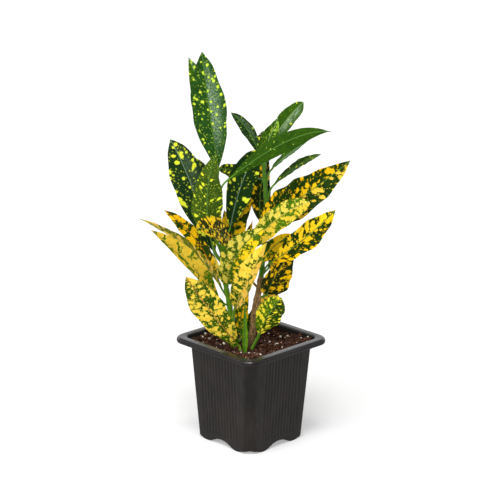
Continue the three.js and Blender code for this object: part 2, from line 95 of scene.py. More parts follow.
class Finish:
    """A material and short ways to wire its nodes."""

    def __init__(self, name, roughness=0.5, specular=0.5):
        self.material = bpy.data.materials.new(name)
        self.material.use_nodes = True
        self.tree = self.material.node_tree
        self.shader = self.tree.nodes["Principled BSDF"]
        self.rough(roughness)
        self.put(self.shader.inputs["Specular IOR Level"], specular)

    def put(self, socket, value):
        if isinstance(value, bpy.types.NodeSocket):
            self.tree.links.new(value, socket)
        else:
            socket.default_value = value

    def node(self, kind, settings=None, **values):
        made = self.tree.nodes.new(kind)
        for key, value in (settings or {}).items():
            setattr(made, key, value)
        for key, value in values.items():
            self.put(made.inputs[key.replace("_", " ")], value)
        return made

    def attribute(self, name, output="Vector"):
        return self.node("ShaderNodeAttribute", {"attribute_name": name}).outputs[output]

    def place(self):
        return self.node("ShaderNodeTexCoord").outputs["Object"]

    def split(self, vector):
        return self.node("ShaderNodeSeparateXYZ", Vector=vector).outputs

    def join(self, x, y, z):
        return self.node("ShaderNodeCombineXYZ", X=x, Y=y, Z=z).outputs[0]

    def math(self, operation, *values):
        made = self.node("ShaderNodeMath", {"operation": operation})
        for socket, value in zip(made.inputs, values):
            self.put(socket, value)
        return made.outputs[0]

    def plus(self, a, b):
        return self.math("ADD", a, b)

    def minus(self, a, b):
        return self.math("SUBTRACT", a, b)

    def times(self, a, b):
        return self.math("MULTIPLY", a, b)

    def inverse(self, value):
        """1 where the value is 0, and 0 where it is 1."""
        return self.minus(1.0, value)

    def vector(self, operation, a, b):
        made = self.node("ShaderNodeVectorMath", {"operation": operation})
        self.put(made.inputs[0], a)
        self.put(made.inputs[1], b)
        return made.outputs[0]

    def stretch(self, vector, scale):
        return self.node("ShaderNodeMapping", Vector=vector, Scale=scale).outputs[0]

    def step(self, value, low, high):
        """Smooth rise from 0 at low to 1 at high."""
        settings = {"interpolation_type": "SMOOTHSTEP"}
        return self.node("ShaderNodeMapRange", settings, Value=value, From_Min=low, From_Max=high).outputs[0]

    def span(self, value, low, high):
        """Value from 0 to 1, spread from low to high."""
        return self.node("ShaderNodeMapRange", Value=value, To_Min=low, To_Max=high).outputs[0]

    def noise(self, vector, scale, detail=2.0, roughness=0.5, distortion=0.0):
        return self.node(
            "ShaderNodeTexNoise", Vector=vector, Scale=scale, Detail=detail, Roughness=roughness,
            Distortion=distortion,
        ).outputs["Fac"]

    def mix(self, factor, a, b, blend="MIX"):
        made = self.node("ShaderNodeMix", {"data_type": "RGBA", "blend_type": blend})
        for socket, value in zip((made.inputs[0], made.inputs[6], made.inputs[7]), (factor, a, b)):
            self.put(socket, value)
        return made.outputs[2]

    def tinted(self, colour, tint):
        return self.mix(1.0, colour, tint, "MULTIPLY")

    def bump(self, height, distance, strength):
        normal = self.node("ShaderNodeBump", Height=height, Distance=distance, Strength=strength)
        self.put(self.shader.inputs["Normal"], normal.outputs[0])

    def colour(self, value):
        self.put(self.shader.inputs["Base Color"], value)

    def rough(self, value):
        self.put(self.shader.inputs["Roughness"], value)


# Side veins: how far apart they are, how they lean and curve towards the tip, how far they wander
VEIN_SPACING = 3.6
VEIN_LEAN = 0.62
VEIN_CURVE = 0.022
VEIN_WANDER = 1.4
# Distances over which side veins, the midrib and the net between them fade, the net's in cells
VEIN_FADE = (0.05, 0.42)
RIB_FADE = (0.3, 0.7)
NET_FADE = (0.02, 0.15)
NET_SCALE = 0.55
# Keeps the spots on the two halves of a blade different
HALVES_APART = 7.3
# How many times closer the small spots lie than the large ones
SMALL_SPOT_SCALE = 2.3
# Radius of the large spots at which a blade begins to count as rich in gold, and is fully so
RICH = (0.25, 0.45)
# Colour of the painted sheen: a silvery reflection painted beside the midrib of some blades
PAINTED_SHEEN_COLOUR = (156, 182, 150)
# Tints, as shares of light: dark patches, the net, riper gold and the veins in it
PATCH_TINT = (0.62, 0.68, 0.62, 1)
NET_TINT = (0.5, 0.58, 0.46, 1)
RIPE_TINT = (0.97, 0.84, 0.62, 1)
GOLD_VEIN_TINT = (0.8, 0.6, 0.3, 1)


def leaf_finish():
    """Variegated leaf: the gold is round spots that run together where they are large.

    Each blade carries its measures in millimetres, its colours and its markings.
    """
    f = Finish("leaf_blade", specular=0.08)
    along, across, seed = f.split(f.attribute("blade"))
    radius, size, stretch = f.split(f.attribute("marking"))
    small, face, lean = f.split(f.attribute("habit"))
    ground = f.attribute("ground", "Color")
    # The ground colour's alpha is how much painted sheen the blade has there
    sheen = f.attribute("ground", "Alpha")
    fleck = f.attribute("fleck", "Color")
    rib = f.attribute("rib", "Color")

    out = f.math("ABSOLUTE", across)
    curve = f.times(f.times(out, out), VEIN_CURVE)
    slant = f.plus(f.times(out, VEIN_LEAN), curve)
    row = f.minus(along, slant)
    layer = f.plus(seed, f.times(f.math("SIGN", across), HALVES_APART))
    flat = f.join(along, across, seed)

    # Veins
    wander = f.times(f.minus(f.noise(flat, 0.35, 1.0), 0.5), VEIN_WANDER)
    phase = f.math("FRACT", f.math("DIVIDE", f.plus(row, wander), VEIN_SPACING))
    off_vein = f.times(f.math("ABSOLUTE", f.minus(phase, 0.5)), VEIN_SPACING)
    vein = f.inverse(f.step(off_vein, *VEIN_FADE))
    midrib = f.inverse(f.step(out, *RIB_FADE))
    cells = f.node("ShaderNodeTexVoronoi", {"feature": "DISTANCE_TO_EDGE"}, Vector=flat, Scale=NET_SCALE)
    net = f.inverse(f.step(cells.outputs["Distance"], *NET_FADE))

    # Spots: slices through balls of two sizes, warped a little
    x = f.math("DIVIDE", f.minus(along, f.times(slant, lean)), size)
    y = f.math("DIVIDE", across, f.times(size, stretch))
    rich = f.step(radius, *RICH)
    place = f.join(x, y, layer)
    warp = f.node("ShaderNodeTexNoise", Vector=place, Scale=1.7, Detail=3.0).outputs["Color"]
    ragged = f.span(rich, 0.4, 0.85)
    warp = f.vector("MULTIPLY", warp, f.join(ragged, ragged, ragged))
    place = f.vector("ADD", place, warp)
    cloud = f.noise(f.join(f.times(x, 0.42), f.times(y, 0.42), layer), 1.0, 2.0)
    cloud = f.plus(f.times(f.minus(cloud, 0.5), f.span(rich, 1.4, 2.1)), 1.0)
    big = f.node("ShaderNodeTexVoronoi", Vector=place, Scale=1.0).outputs["Distance"]
    big = f.minus(big, f.times(radius, cloud))
    little = f.node("ShaderNodeTexVoronoi", Vector=place, Scale=SMALL_SPOT_SCALE).outputs["Distance"]
    little = f.minus(little, f.times(small, cloud))
    gold_big = f.inverse(f.step(big, -0.035, 0.02))
    gold_small = f.inverse(f.step(little, -0.1, 0.05))
    glow = f.inverse(f.step(f.math("MINIMUM", big, little), -0.02, 0.075))

    # Colours
    tone = f.noise(flat, 0.13, 3.0, 0.6)
    fine = f.noise(flat, 1.9, 2.0, 0.6)
    patch = f.noise(flat, 0.6, 3.0, 0.65)
    # Painted sheen: the ground is mixed towards a silvery reflection colour, in patches and thinned over the
    # net
    bloom = f.times(f.span(f.step(patch, 0.36, 0.62), 0.3, 1.0), f.span(net, 1.0, 0.4))
    ground = f.mix(f.times(sheen, bloom), ground, linear(*PAINTED_SHEEN_COLOUR))
    deep = f.mix(f.step(tone, 0.36, 0.62), f.tinted(ground, PATCH_TINT), ground)
    deep = f.mix(f.times(vein, 0.22), deep, f.mix(0.4, ground, rib))
    deep = f.mix(f.times(net, 0.5), deep, f.tinted(ground, NET_TINT))
    lime = f.mix(0.36, ground, fleck)
    ripe = f.tinted(fleck, RIPE_TINT)
    bright = f.mix(f.step(f.noise(flat, 0.3, 2.0), 0.4, 0.68), fleck, ripe)
    bright = f.mix(f.times(vein, 0.12), bright, f.tinted(fleck, GOLD_VEIN_TINT))
    colour = f.mix(f.times(glow, 0.7), deep, lime)
    dots = f.mix(f.span(rich, 0.45, 0.75), ground, fleck)
    colour = f.mix(f.times(gold_small, 0.85), colour, dots)
    colour = f.mix(gold_big, colour, bright)
    colour = f.mix(f.times(midrib, 0.7), colour, rib)
    shade = f.plus(f.times(f.plus(fine, patch), 0.42), 0.58)
    f.colour(f.tinted(colour, shade))

    # Leathery upper face, duller underside
    polish = f.span(fine, 0.35, 0.5)
    f.rough(f.plus(polish, f.times(f.inverse(face), 0.22)))
    # Veins are sunk in the upper face and stand out below
    toward = f.minus(f.times(face, -2.0), -1.0)
    relief = f.times(f.plus(vein, f.times(midrib, 1.4)), toward)
    relief = f.plus(relief, f.times(net, -0.35))
    relief = f.plus(relief, f.times(f.noise(flat, 0.8, 3.0), 1.1))
    f.bump(relief, 0.00028, 0.8)
    return f.material


# Bark dark and light, its flecks, the colour of the painted shade laid on it near the soil, and the heights
# in metres between which that shade fades out
BARK = (88, 62, 34), (180, 146, 98)
BARK_FLECK = (66, 48, 34)
BARK_PAINTED_SHADE = (44, 30, 22)
PAINTED_SHADE_FADES = (0.088, 0.112)
GREEN_STREAK_TINT = (0.6, 0.68, 0.5, 1)


def stem_finish():
    """Green skin that turns to brown bark where the stem's own woodiness says so."""
    f = Finish("stem_skin", specular=0.16)
    skin = f.attribute("ground", "Color")
    wood = f.attribute("wood", "Fac")
    place = f.attribute("skin_place")
    streak = f.noise(f.stretch(place, (1.6, 1.6, 0.24)), 1.0, 4.0, 0.65)
    mottle = f.noise(f.place(), 520, 3.0, 0.6)
    bark = f.mix(f.step(streak, 0.34, 0.66), linear(*BARK[0]), linear(*BARK[1]))
    bark = f.mix(f.step(mottle, 0.56, 0.7), bark, linear(*BARK_FLECK))
    green = f.mix(f.step(streak, 0.35, 0.65), f.tinted(skin, GREEN_STREAK_TINT), skin)
    rings = f.noise(f.stretch(place, (0.2, 0.2, 1)), 1.3, 2.0)
    edge = f.plus(wood, f.times(f.minus(mottle, 0.5), 0.9))
    woody = f.step(edge, 0.4, 0.6)
    height = f.split(f.place())[2]
    # Painted shade: the bark is darkened towards the soil, where the stem's foot lies in shade
    low_shade = f.inverse(f.step(height, *PAINTED_SHADE_FADES))
    bark = f.mix(f.times(low_shade, 0.7), bark, linear(*BARK_PAINTED_SHADE))
    f.colour(f.mix(woody, green, bark))
    f.rough(f.span(woody, 0.42, 0.8))
    relief = f.plus(f.times(streak, woody), f.times(rings, 0.5))
    f.bump(relief, 0.0006, 0.7)
    return f.material


FLOW_MARK = (52, 49, 46)
DUST = (84, 78, 72)


def pot_finish(name, dark, light, specular, low, high):
    """Charcoal moulded plastic with faint flow marks, dust and handling wear."""
    f = Finish(name, specular=specular)
    place = f.place()
    x, y, z = f.split(place)
    cloud = f.noise(place, 26, 4.0, 0.6)
    grain = f.noise(place, 1400, 2.0, 0.5)
    dust = f.noise(place, 95, 5.0, 0.7)
    stretched = f.join(f.times(x, 6.0), f.times(y, 6.0), z)
    flow = f.noise(stretched, 60, 3.0, 0.5)
    base = f.mix(f.step(cloud, 0.35, 0.68), linear(*dark), linear(*light))
    base = f.mix(f.times(f.step(flow, 0.45, 0.75), 0.3), base, linear(*FLOW_MARK))
    base = f.mix(f.times(f.step(dust, 0.62, 0.8), 0.16), base, linear(*DUST))
    f.colour(base)
    f.rough(f.plus(f.span(cloud, low, high), f.times(dust, 0.12)))
    f.bump(f.plus(grain, f.times(flow, 0.6)), 0.0001, 0.5)
    return f.material


PEAT = (19, 9, 4), (80, 45, 30)
PEAT_FIBRE = (136, 84, 56)
HOLLOW_PAINTED_SHADE = (0.3, 0.26, 0.24, 1)


def soil_finish():
    """Dark moist peat with reddish fibres, and painted shade that darkens its hollows."""
    f = Finish("peat", specular=0.06)
    place = f.place()
    height = f.attribute("soil_relief", "Fac")
    clump = f.noise(place, 240, 6.0, 0.7)
    fibre = f.noise(place, 900, 3.0, 0.7, 1.5)
    base = f.mix(f.step(clump, 0.4, 0.66), linear(*PEAT[0]), linear(*PEAT[1]))
    base = f.mix(f.times(f.step(fibre, 0.54, 0.7), 0.75), base, linear(*PEAT_FIBRE))
    # Painted shade: the low places of the relief are darkened as if shaded
    base = f.mix(f.step(height, 0.15, 0.6), f.tinted(base, HOLLOW_PAINTED_SHADE), base)
    f.colour(base)
    f.rough(f.span(clump, 0.95, 0.72))
    f.bump(f.plus(clump, f.times(fibre, 0.5)), 0.0012, 0.9)
    return f.material


def bit_finish(name, dark, light, scale, roughness):
    """Loose bits in the soil."""
    f = Finish(name, roughness=roughness, specular=0.3)
    mottle = f.noise(f.place(), scale, 4.0, 0.65)
    f.colour(f.mix(f.step(mottle, 0.36, 0.64), linear(*dark), linear(*light)))
    f.bump(mottle, 0.0004, 0.8)
    return f.material


def rise(value, low, high):
    """Smooth rise from 0 at low to 1 at high."""
    share = min(max((value - low) / (high - low), 0), 1)
    return share * share * (3 - 2 * share)


def add_piece(name, bm, material, smooth=True):
    """Makes a closed piece of the mesh, with its faces outward, and lets it ride on the pot's body."""
    bmesh.ops.recalc_face_normals(bm, faces=bm.faces[:])
    if bm.calc_volume(signed=True) < 0:
        bmesh.ops.reverse_faces(bm, faces=bm.faces[:])
    mesh = bpy.data.meshes.new(name)
    bm.to_mesh(mesh)
    bm.free()
    mesh.materials.append(material)
    if smooth:
        mesh.shade_smooth()
        mesh.set_sharp_from_angle(angle=math.radians(60))
    piece = add_object(name, mesh)
    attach(piece, BODY)
    return piece


# Colours of the plant
GREEN = {
    "ink": (21, 41, 0),
    "night": (17, 52, 4),
    "deep": (29, 59, 0),
    "bottle": (26, 57, 20),
    "crown": (40, 84, 26),
    "forest": (39, 70, 0),
    "arch": (48, 86, 2),
    "leaf": (55, 96, 2),
    "olive": (69, 96, 20),
    "fresh": (80, 121, 6),
    "bright": (105, 155, 18),
    "shade": (30, 48, 0),
    "moss": (111, 119, 8),
    "blue": (80, 111, 14),
    # A green with painted sheen, for a blade's right half
    "painted_sheen": (72, 109, 60),
}
GOLD = {
    "lemon": (226, 240, 60),
    "pear": (208, 238, 66),
    "butter": (252, 224, 78),
    "primrose": (250, 236, 60),
    "cream": (240, 226, 92),
    "amber": (252, 204, 12),
    "orange": (246, 184, 8),
    "tan": (228, 192, 82),
    "honey": (234, 202, 62),
    "sun": (255, 218, 32),
    "lime": (150, 186, 62),
}
RIB = {
    "pale": (126, 160, 96),
    # A midrib with painted sheen
    "painted_sheen": (112, 142, 112),
    "green": (86, 130, 52),
    "yellow": (214, 190, 80),
    "pink": (186, 124, 62),
    "brown": (150, 92, 30),
}


class Look:
    """How one leaf is marked.

    First come its green, gold and rib colours, then the share of gold at base, middle and tip, how
    much more of it the right half has, the spacing of its spots, how long they are across the blade,
    the share of small spots and how far they lean along the side veins. The right half may have
    another green and gold, and the last value is how much painted sheen, a silvery reflection, the
    blade has beside its midrib.
    """

    def __init__(self, green, gold, rib, shares, tilt=0.0, size=5.0, stretch=1.0, small=0.12, lean=0.5,
                 right_green=None, right_gold=None, painted_sheen=0.0):
        self.green, self.gold, self.rib = GREEN[green], GOLD[gold], RIB[rib]
        self.right_green, self.right_gold = GREEN[right_green or green], GOLD[right_gold or gold]
        self.shares, self.tilt = shares, tilt
        self.size, self.stretch, self.small, self.lean = size, stretch, small, lean
        self.painted_sheen = painted_sheen

    def share(self, u, v):
        """Share of gold at one place, u from 0 to 1 along the blade and v from -1 to 1 across."""
        base, middle, tip = self.shares
        share = base + (middle - base) * min(2 * u, 1) + (tip - middle) * max(2 * u - 1, 0)
        return min(max(share + self.tilt * v, 0.002), 0.985)


def spot_radius(share):
    """Radius of balls, in their spacing, that fill the given share of a slice through them."""
    return (-3 * math.log(1 - min(share, 0.995)) / (4 * math.pi)) ** (1 / 3)


# Stem lines: x, y, z and radius
STEM_LINES = {
    "left": (
        (-14.5, -8, 74, 2.6), (-14.5, -8, 88, 2.6), (-16.6, -6.5, 103.5, 2.3), (-18.6, -4, 120, 2.1),
        (-20.5, -3, 132, 2), (-22.5, -2, 142, 1.9), (-25.5, 0, 158, 1.8), (-26, 0, 175, 1.7),
        (-27.5, 2, 190, 1.6), (-29, 3, 208.5, 1.5), (-30.5, 3, 227, 1.4), (-31, 3, 242.5, 1.2),
        (-30.5, 4, 249.5, 0.9),
    ),
    "right": (
        (0, -10, 74, 2.8), (0, -10, 88, 2.8), (1.5, -8, 104.5, 2.7), (3, -6, 121, 2.7),
        (5.5, -4, 133.5, 2.7), (7.5, -2, 145, 2.4), (9.5, 0, 160.5, 1.9), (11, 0, 177, 1.8),
        (12, 1, 195.5, 1.9), (12.5, 2, 212, 1.8), (12, 2, 227.5, 1.7), (11, 3, 241, 1.6),
        (10, 4, 255, 1.4), (10, 5, 262, 1),
    ),
    "shoot": ((-5.4, -25, 74, 1.7), (-5.4, -25, 82, 1.7), (-5.4, -25, 89, 1.5)),
}

# Where a blade's tip begins to draw in to a point, and by what share it does
POINT_START = 0.88
POINTED = 0.4
# Least half width of a blade at its base, and how much less it is at the tip
LEAST_HALF = 0.9
LEAST_TAPER = 0.55
# Parts in which a blade's length is measured
SPINE_PARTS = 20


class Leaf:
    """Where one leaf is, what shape its blade has and how it is marked.

    Points are where its stalk leaves the stem, the blade's base, its middle and its tip. Then come
    its width, its widest place from 0 at the base to 1 at the tip, its taper towards base and tip,
    its fold in degrees, its turn about its length at base and tip in degrees, the height of its
    edge waves, their number and its look.
    """

    def __init__(self, name, stem, root, base, middle, tip, width, belly, base_taper, tip_taper, fold,
                 turn_base, turn_tip, wave, waves, look):
        self.name = name
        self.stem = stem
        self.base, self.middle, self.tip = Vector(base), Vector(middle), Vector(tip)
        self.root = on_stem(Vector(root), stem)
        self.bend = 2 * self.middle - (self.base + self.tip) / 2
        self.width, self.belly = width, belly
        self.base_taper, self.tip_taper = base_taper, tip_taper
        self.fold = math.radians(fold)
        self.turns = math.radians(turn_base), math.radians(turn_tip)
        self.wave, self.waves = wave, waves
        self.look = look
        line = [self.spine(i / SPINE_PARTS) for i in range(SPINE_PARTS + 1)]
        self.length = sum((end - start).length for start, end in zip(line, line[1:]))
        self.shows_underside = abs(turn_base) > 90

    def spine(self, u):
        """Point on the blade's middle line, from 0 at its base to 1 at its tip."""
        return self.base.lerp(self.bend, u).lerp(self.bend.lerp(self.tip, u), u)

    def heading(self, u):
        """Direction of the middle line."""
        return (self.bend - self.base).lerp(self.tip - self.bend, u).normalized()

    def axes(self, u):
        """Side and outward directions of the blade at one place along it."""
        along = self.heading(u)
        out = (FACING - along * FACING.dot(along)).normalized()
        turn = self.turns[0] + (self.turns[1] - self.turns[0]) * u
        outward = out * math.cos(turn) + along.cross(out) * math.sin(turn)
        return along.cross(outward), outward

    def reach(self, u):
        """Half width of the blade at one place along it."""
        if u < self.belly:
            share = math.sin(math.pi / 2 * u / self.belly) ** self.base_taper
        else:
            falling = math.cos(math.pi / 2 * (u - self.belly) / (1 - self.belly))
            share = max(falling, 0) ** self.tip_taper
            share *= 1 - POINTED * max((u - POINT_START) / (1 - POINT_START), 0) ** 2
        return max(self.width / 2 * share, LEAST_HALF - LEAST_TAPER * u)


def on_stem(point, stem):
    """Nearest point on a stem's line."""
    line = [Vector(p[:3]) for p in STEM_LINES[stem]]
    best = None
    for start, end in zip(line, line[1:]):
        run = end - start
        share = min(max((point - start).dot(run) / run.length_squared, 0), 1)
        near = start + run * share
        if best is None or (near - point).length < (best - point).length:
            best = near
    return best


# One leaf an entry, its values in the order that the class takes them
LEAF_TABLE = (
    ("crown", "left", (-30.5, 3, 239.5), (-30, 4, 251), (-38, 14, 298.5), (-45, 26, 350.5),
     33, 0.52, 0.85, 0.68, 24, 0, 0, 0.8, 3,
     Look("crown", "pear", "green", (0.038, 0.034, 0.075), 0.02, 5.6, 1, 0.045, 0.2, painted_sheen=0.85)),
    ("crown_rear", "left", (-30.5, 4, 235), (-32, 12, 256.5), (-42, 28, 302.5), (-57.5, 40, 343),
     19, 0.58, 0.9, 0.9, 10, -5, -5, 0.6, 2,
     Look("leaf", "pear", "pale", (0.06, 0.08, 0.1), 0, 4.6, 1, 0.06, 0.2, right_green="painted_sheen")),
    ("broad_left", "left", (-27, 0, 163.5), (-33, 2, 174.5), (-53, 13, 230.5), (-73, 22, 272.5),
     32, 0.55, 0.72, 0.74, 12, 0, 0, 0.6, 3,
     Look("bottle", "lemon", "painted_sheen", (0.06, 0.1, 0.16), 0, 6.6, 1, 0.04, 0.3, painted_sheen=0.2)),
    ("olive_upright", "left", (-26.5, -2, 170), (-33.5, -5, 191.5), (-39.5, -11, 226), (-31.5, -14, 269.5),
     28, 0.42, 0.75, 0.9, 10, 180, 180, 0.8, 2,
     Look("olive", "lemon", "green", (0.2, 0.1, 0.03), 0.02, 4.4, 1.3, 0.06, 0.5)),
    ("toward_viewer", "left", (-25.5, -3, 179), (-18.5, -16, 190.5), (-32, -43, 207), (-47, -76, 219),
     26, 0.5, 0.9, 0.7, 12, 35, 35, 1, 2,
     Look("ink", "sun", "green", (0.16, 0.3, 0.42), 0, 4.6, 0.8, 0.05, 0.4)),
    ("small_left_pointing", "right", (11, 3, 240), (-5, 26, 236.5), (-17, 33, 241), (-30.5, 39, 241.5),
     13.5, 0.5, 0.7, 0.55, 8, 20, 20, 0.6, 2,
     Look("deep", "lemon", "green", (0.08, 0.1, 0.08), 0, 4, 1.1, 0.05, 0.4)),
    ("centre_dark", "left", (-26.5, 1, 186), (-19.5, 3, 195.5), (-9.5, 6, 236), (4.5, 8, 267),
     25, 0.57, 0.8, 0.6, 16, 0, 0, 0.6, 2,
     Look("night", "lemon", "painted_sheen", (0.05, 0.08, 0.09), 0, 8, 1, 0.03, 0.3)),
    ("centre_gold", "left", (-26.5, 2, 172.5), (-17, 8, 181), (-12.5, 14, 200), (1, 20, 220.5),
     18, 0.36, 0.6, 0.8, 10, 0, 0, 0.6, 2,
     Look("forest", "amber", "green", (0.3, 0.4, 0.5), 0.1, 4.5, 1.1, 0.1, 0.6)),
    ("centre_sliver", "left", (-26.5, 4, 174), (-20.5, 14, 182), (-22.5, 20, 193.5), (-25, 26, 206.5),
     10, 0.4, 0.8, 0.8, 8, 0, 0, 0.6, 2,
     Look("shade", "amber", "yellow", (0.45, 0.5, 0.45), 0, 4, 1, 0.1, 0.5)),
    ("top_left_small", "right", (10, 4, 256), (5.3, 15, 262.7), (-4.7, 21, 282.2), (-19.5, 29, 295.5),
     11, 0.5, 0.6, 0.75, 8, 0, 0, 0.3, 2,
     Look("bottle", "lime", "green", (0.08, 0.04, 0.008), 0, 3.6, 1, 0.05, 0.3, painted_sheen=0.3)),
    ("behind_right_stem", "right", (11, 2, 180.5), (7, 12, 200.5), (8, 20, 231.5), (14, 26, 260),
     18, 0.36, 0.8, 1, 12, 0, 0, 0.8, 2,
     Look("shade", "amber", "green", (0.14, 0.12, 0.08), 0, 6.5, 1, 0.04, 0.4)),
    ("long_arch", "left", (-30, -2, 205), (-22.5, -10, 243), (28.5, -28, 283), (67, -40, 295.5),
     16.5, 0.48, 0.85, 1.25, 10, 180, 180, 0.3, 2,
     Look("arch", "lime", "green", (0.006, 0.01, 0.01), 0, 4.4, 1, 0.008, 0.4)),
    ("top_right_round", "right", (10, 5, 258.5), (14.5, 12, 269), (28.8, 20, 290.2), (44.7, 30, 305.3),
     15, 0.6, 0.7, 0.55, 10, 0, 0, 0.6, 2,
     Look("leaf", "lemon", "pale", (0.04, 0.015, 0.01), 0, 4.6, 1.5, 0.015, 0.8, painted_sheen=0.8)),
    ("top_middle", "right", (10, 4, 254.5), (7.5, 3, 264), (14, 3, 277.5), (22, 6, 296.5),
     15, 0.48, 0.6, 0.8, 12, 10, 10, 0.9, 3,
     Look("leaf", "lime", "pale", (0.02, 0.08, 0.3), 0.15, 3, 1.3, 0.12, 0.8)),
    ("narrow_upper", "right", (12.5, 3, 226.5), (16.5, 4, 250), (29.3, 5, 262.3), (49, 6, 276.5),
     10.5, 0.5, 0.9, 0.8, 8, -62, -56, 0.3, 2,
     Look("leaf", "lime", "green", (0.03, 0.06, 0.04), 0, 4, 1, 0.05, 0.5, painted_sheen=0.9)),
    ("narrow_lower", "right", (13, 2, 213.5), (19.5, 2, 237.5), (40, 6, 253.5), (60.5, 10, 263),
     14, 0.48, 0.8, 0.7, 8, -61, -60, 0.3, 2,
     Look("arch", "lemon", "green", (0.05, 0.04, 0.02), 0, 3.6, 1, 0.03, 0.5)),
    ("big_upper_right", "right", (12.5, 0, 182), (7.5, -4, 203.5), (46, -16, 232.6), (84.5, -28, 267),
     33.5, 0.36, 0.45, 0.75, 14, -24, 8, 1.2, 4,
     Look("deep", "amber", "green", (0.2, 0.23, 0.32), 0.08, 5.8, 1.1, 0.08, 0.5, right_gold="honey")),
    ("pale_curled", "left", (-26, -2, 164.5), (-1.5, -10, 183), (25, -20, 214), (50.5, -30, 229.5),
     20.5, 0.48, 0.4, 0.45, 12, 0, 0, 0.6, 3,
     Look("fresh", "cream", "yellow", (0.26, 0.34, 0.56), 0.06, 4.6, 1, 0.18, 0.4, right_gold="honey")),
    ("centre_pale", "left", (-22.5, -3, 136.5), (-21, -8, 147.5), (-12, -20, 180.5), (11.5, -30, 206),
     27, 0.5, 0.45, 0.8, 20, 0, 0, 0.8, 2,
     Look("blue", "cream", "green", (0.29, 0.45, 0.55), 0.22, 6.6, 1.1, 0.2, 0.4, right_gold="sun")),
    # Its right half's tan is painted shade: that half of the fold faces away from the light
    ("front_yellow", "left", (-18.5, -5, 113), (-14.5, -12, 126.5), (-4, -28, 156), (13, -38, 195),
     25, 0.52, 0.7, 0.7, 31, -31, -31, 0.5, 2,
     Look("leaf", "butter", "yellow", (0.27, 0.42, 0.7), 0.08, 4.6, 1, 0.2, 0.3, right_gold="tan")),
    ("big_lower_right", "right", (10, -2, 148), (17.5, -8, 168.5), (46, -20, 193.5), (72.5, -30, 223),
     22.5, 0.54, 0.7, 0.75, 10, -5, -5, 1, 3,
     Look("deep", "sun", "green", (0.38, 0.52, 0.42), -0.04, 5, 0.9, 0.14, 0.7, right_gold="amber")),
    ("tan_behind", "right", (10.5, 0, 160), (10.2, -3.8, 167), (20, 2, 180), (37, 9, 189.5),
     14.5, 0.46, 0.6, 0.7, 8, 180, 180, 0.6, 2,
     Look("leaf", "sun", "green", (0.6, 0.6, 0.66), 0, 5.4, 1, 0.06, 0.3)),
    ("orange_lower_right", "right", (8.5, -3, 131.5), (14, -2, 137), (23.2, -4, 158), (38, -4, 181),
     29.5, 0.3, 0.45, 0.85, 28, 28, 28, 0.6, 3,
     Look("shade", "amber", "green", (0.2, 0.31, 0.36), 0.06, 5.8, 1, 0.12, 0.4)),
    ("low_right", "right", (1, -11, 93), (7.5, -20, 105), (16, -28, 127), (26.5, -32, 143),
     23.5, 0.55, 0.75, 0.4, 14, 10, 10, 0.8, 2,
     Look("fresh", "primrose", "green", (0.34, 0.25, 0.17), -0.16, 3.5, 1.5, 0.15, 1, right_green="forest")),
    ("low_centre", "left", (-9, -8, 91), (-9, -6, 96), (-8.5, 2, 119), (-4, 8, 150),
     12, 0.5, 0.8, 0.8, 10, 0, 0, 0.6, 2,
     Look("leaf", "amber", "green", (0.3, 0.34, 0.34), 0, 5, 1, 0.14, 0.5)),
    ("low_dark", "right", (0, -8, 92), (-1, -4, 95.5), (0, 4, 105), (4.5, 10, 123),
     12, 0.5, 0.8, 0.8, 10, 0, 0, 0.6, 2,
     Look("forest", "amber", "green", (0.04, 0.07, 0.07), 0, 5, 1, 0.04, 0.5)),
    ("low_left_yellow", "left", (-10.5, -9, 92), (-10.5, -18, 92.5), (-34, -32, 128), (-56.5, -48, 166.5),
     28, 0.6, 0.82, 0.62, 12, 0, 0, 1, 3,
     Look("leaf", "butter", "pink", (0.28, 0.35, 0.32), 0, 4.8, 1, 0.18, 0.4)),
    ("left_mid", "left", (-20, -5, 124), (-28, -10, 133), (-54.5, -27, 172), (-87, -42, 207),
     20, 0.5, 1, 0.8, 34, 34, 34, 0.5, 3,
     Look("fresh", "honey", "yellow", (0.28, 0.42, 0.66), 0, 5.2, 1, 0.18, 0.5)),
    ("left_long", "left", (-21.5, -4, 129), (-26, -3, 141), (-54, -8, 179.6), (-98, -14, 209),
     16, 0.5, 0.8, 0.9, 8, 62, 66, 0.4, 3,
     Look("moss", "honey", "green", (0.2, 0.42, 0.7), 0, 4.8, 1.4, 0.15, 0.9, right_gold="tan")),
    ("left_orange", "left", (-24.5, -1, 148), (-31.5, 4, 152), (-51.8, 12, 184.8), (-78.5, 18, 208),
     13.5, 0.5, 0.75, 0.75, 12, 5, 5, 0.5, 3,
     Look("forest", "amber", "brown", (0.24, 0.35, 0.36), -0.1, 6.4, 1, 0.12, 0.5)),
    ("tip_behind_pale", "left", (-24.5, -1, 150), (-18, 8, 162), (-8, 10, 178), (0.5, 12, 200.5),
     9, 0.5, 0.8, 0.9, 10, 0, 0, 0.4, 2,
     Look("forest", "orange", "brown", (0.3, 0.5, 0.7), 0, 4, 1, 0.14, 0.5)),
    ("rear_left_low", "left", (-12, -7, 97), (-18, 6, 104), (-40, 36, 112), (-53, 67, 112),
     24, 0.52, 0.7, 0.7, 12, 0, 0, 0.7, 3,
     Look("leaf", "butter", "pink", (0.4, 0.45, 0.45), 0, 5.4, 1.1, 0.22, 0.5)),
    ("rear_left_mid", "left", (-22, -1, 140), (-28, 12, 147), (-49, 44, 156), (-74, 74, 163),
     26, 0.5, 0.75, 0.75, 12, 0, 0, 0.7, 3,
     Look("forest", "butter", "yellow", (0.3, 0.4, 0.4), 0, 5.6, 1.1, 0.2, 0.6)),
    ("rear_left_high", "left", (-27.5, 3, 195), (-33, 13, 206), (-50, 38, 232), (-70, 58, 250),
     27, 0.52, 0.75, 0.8, 14, 0, 0, 0.7, 3,
     Look("bottle", "lemon", "green", (0.1, 0.12, 0.16), 0, 6, 1.1, 0.06, 0.6)),
    ("rear_right_low", "right", (2, -6, 100), (7, 6, 106), (16, 36, 113), (24, 66, 114),
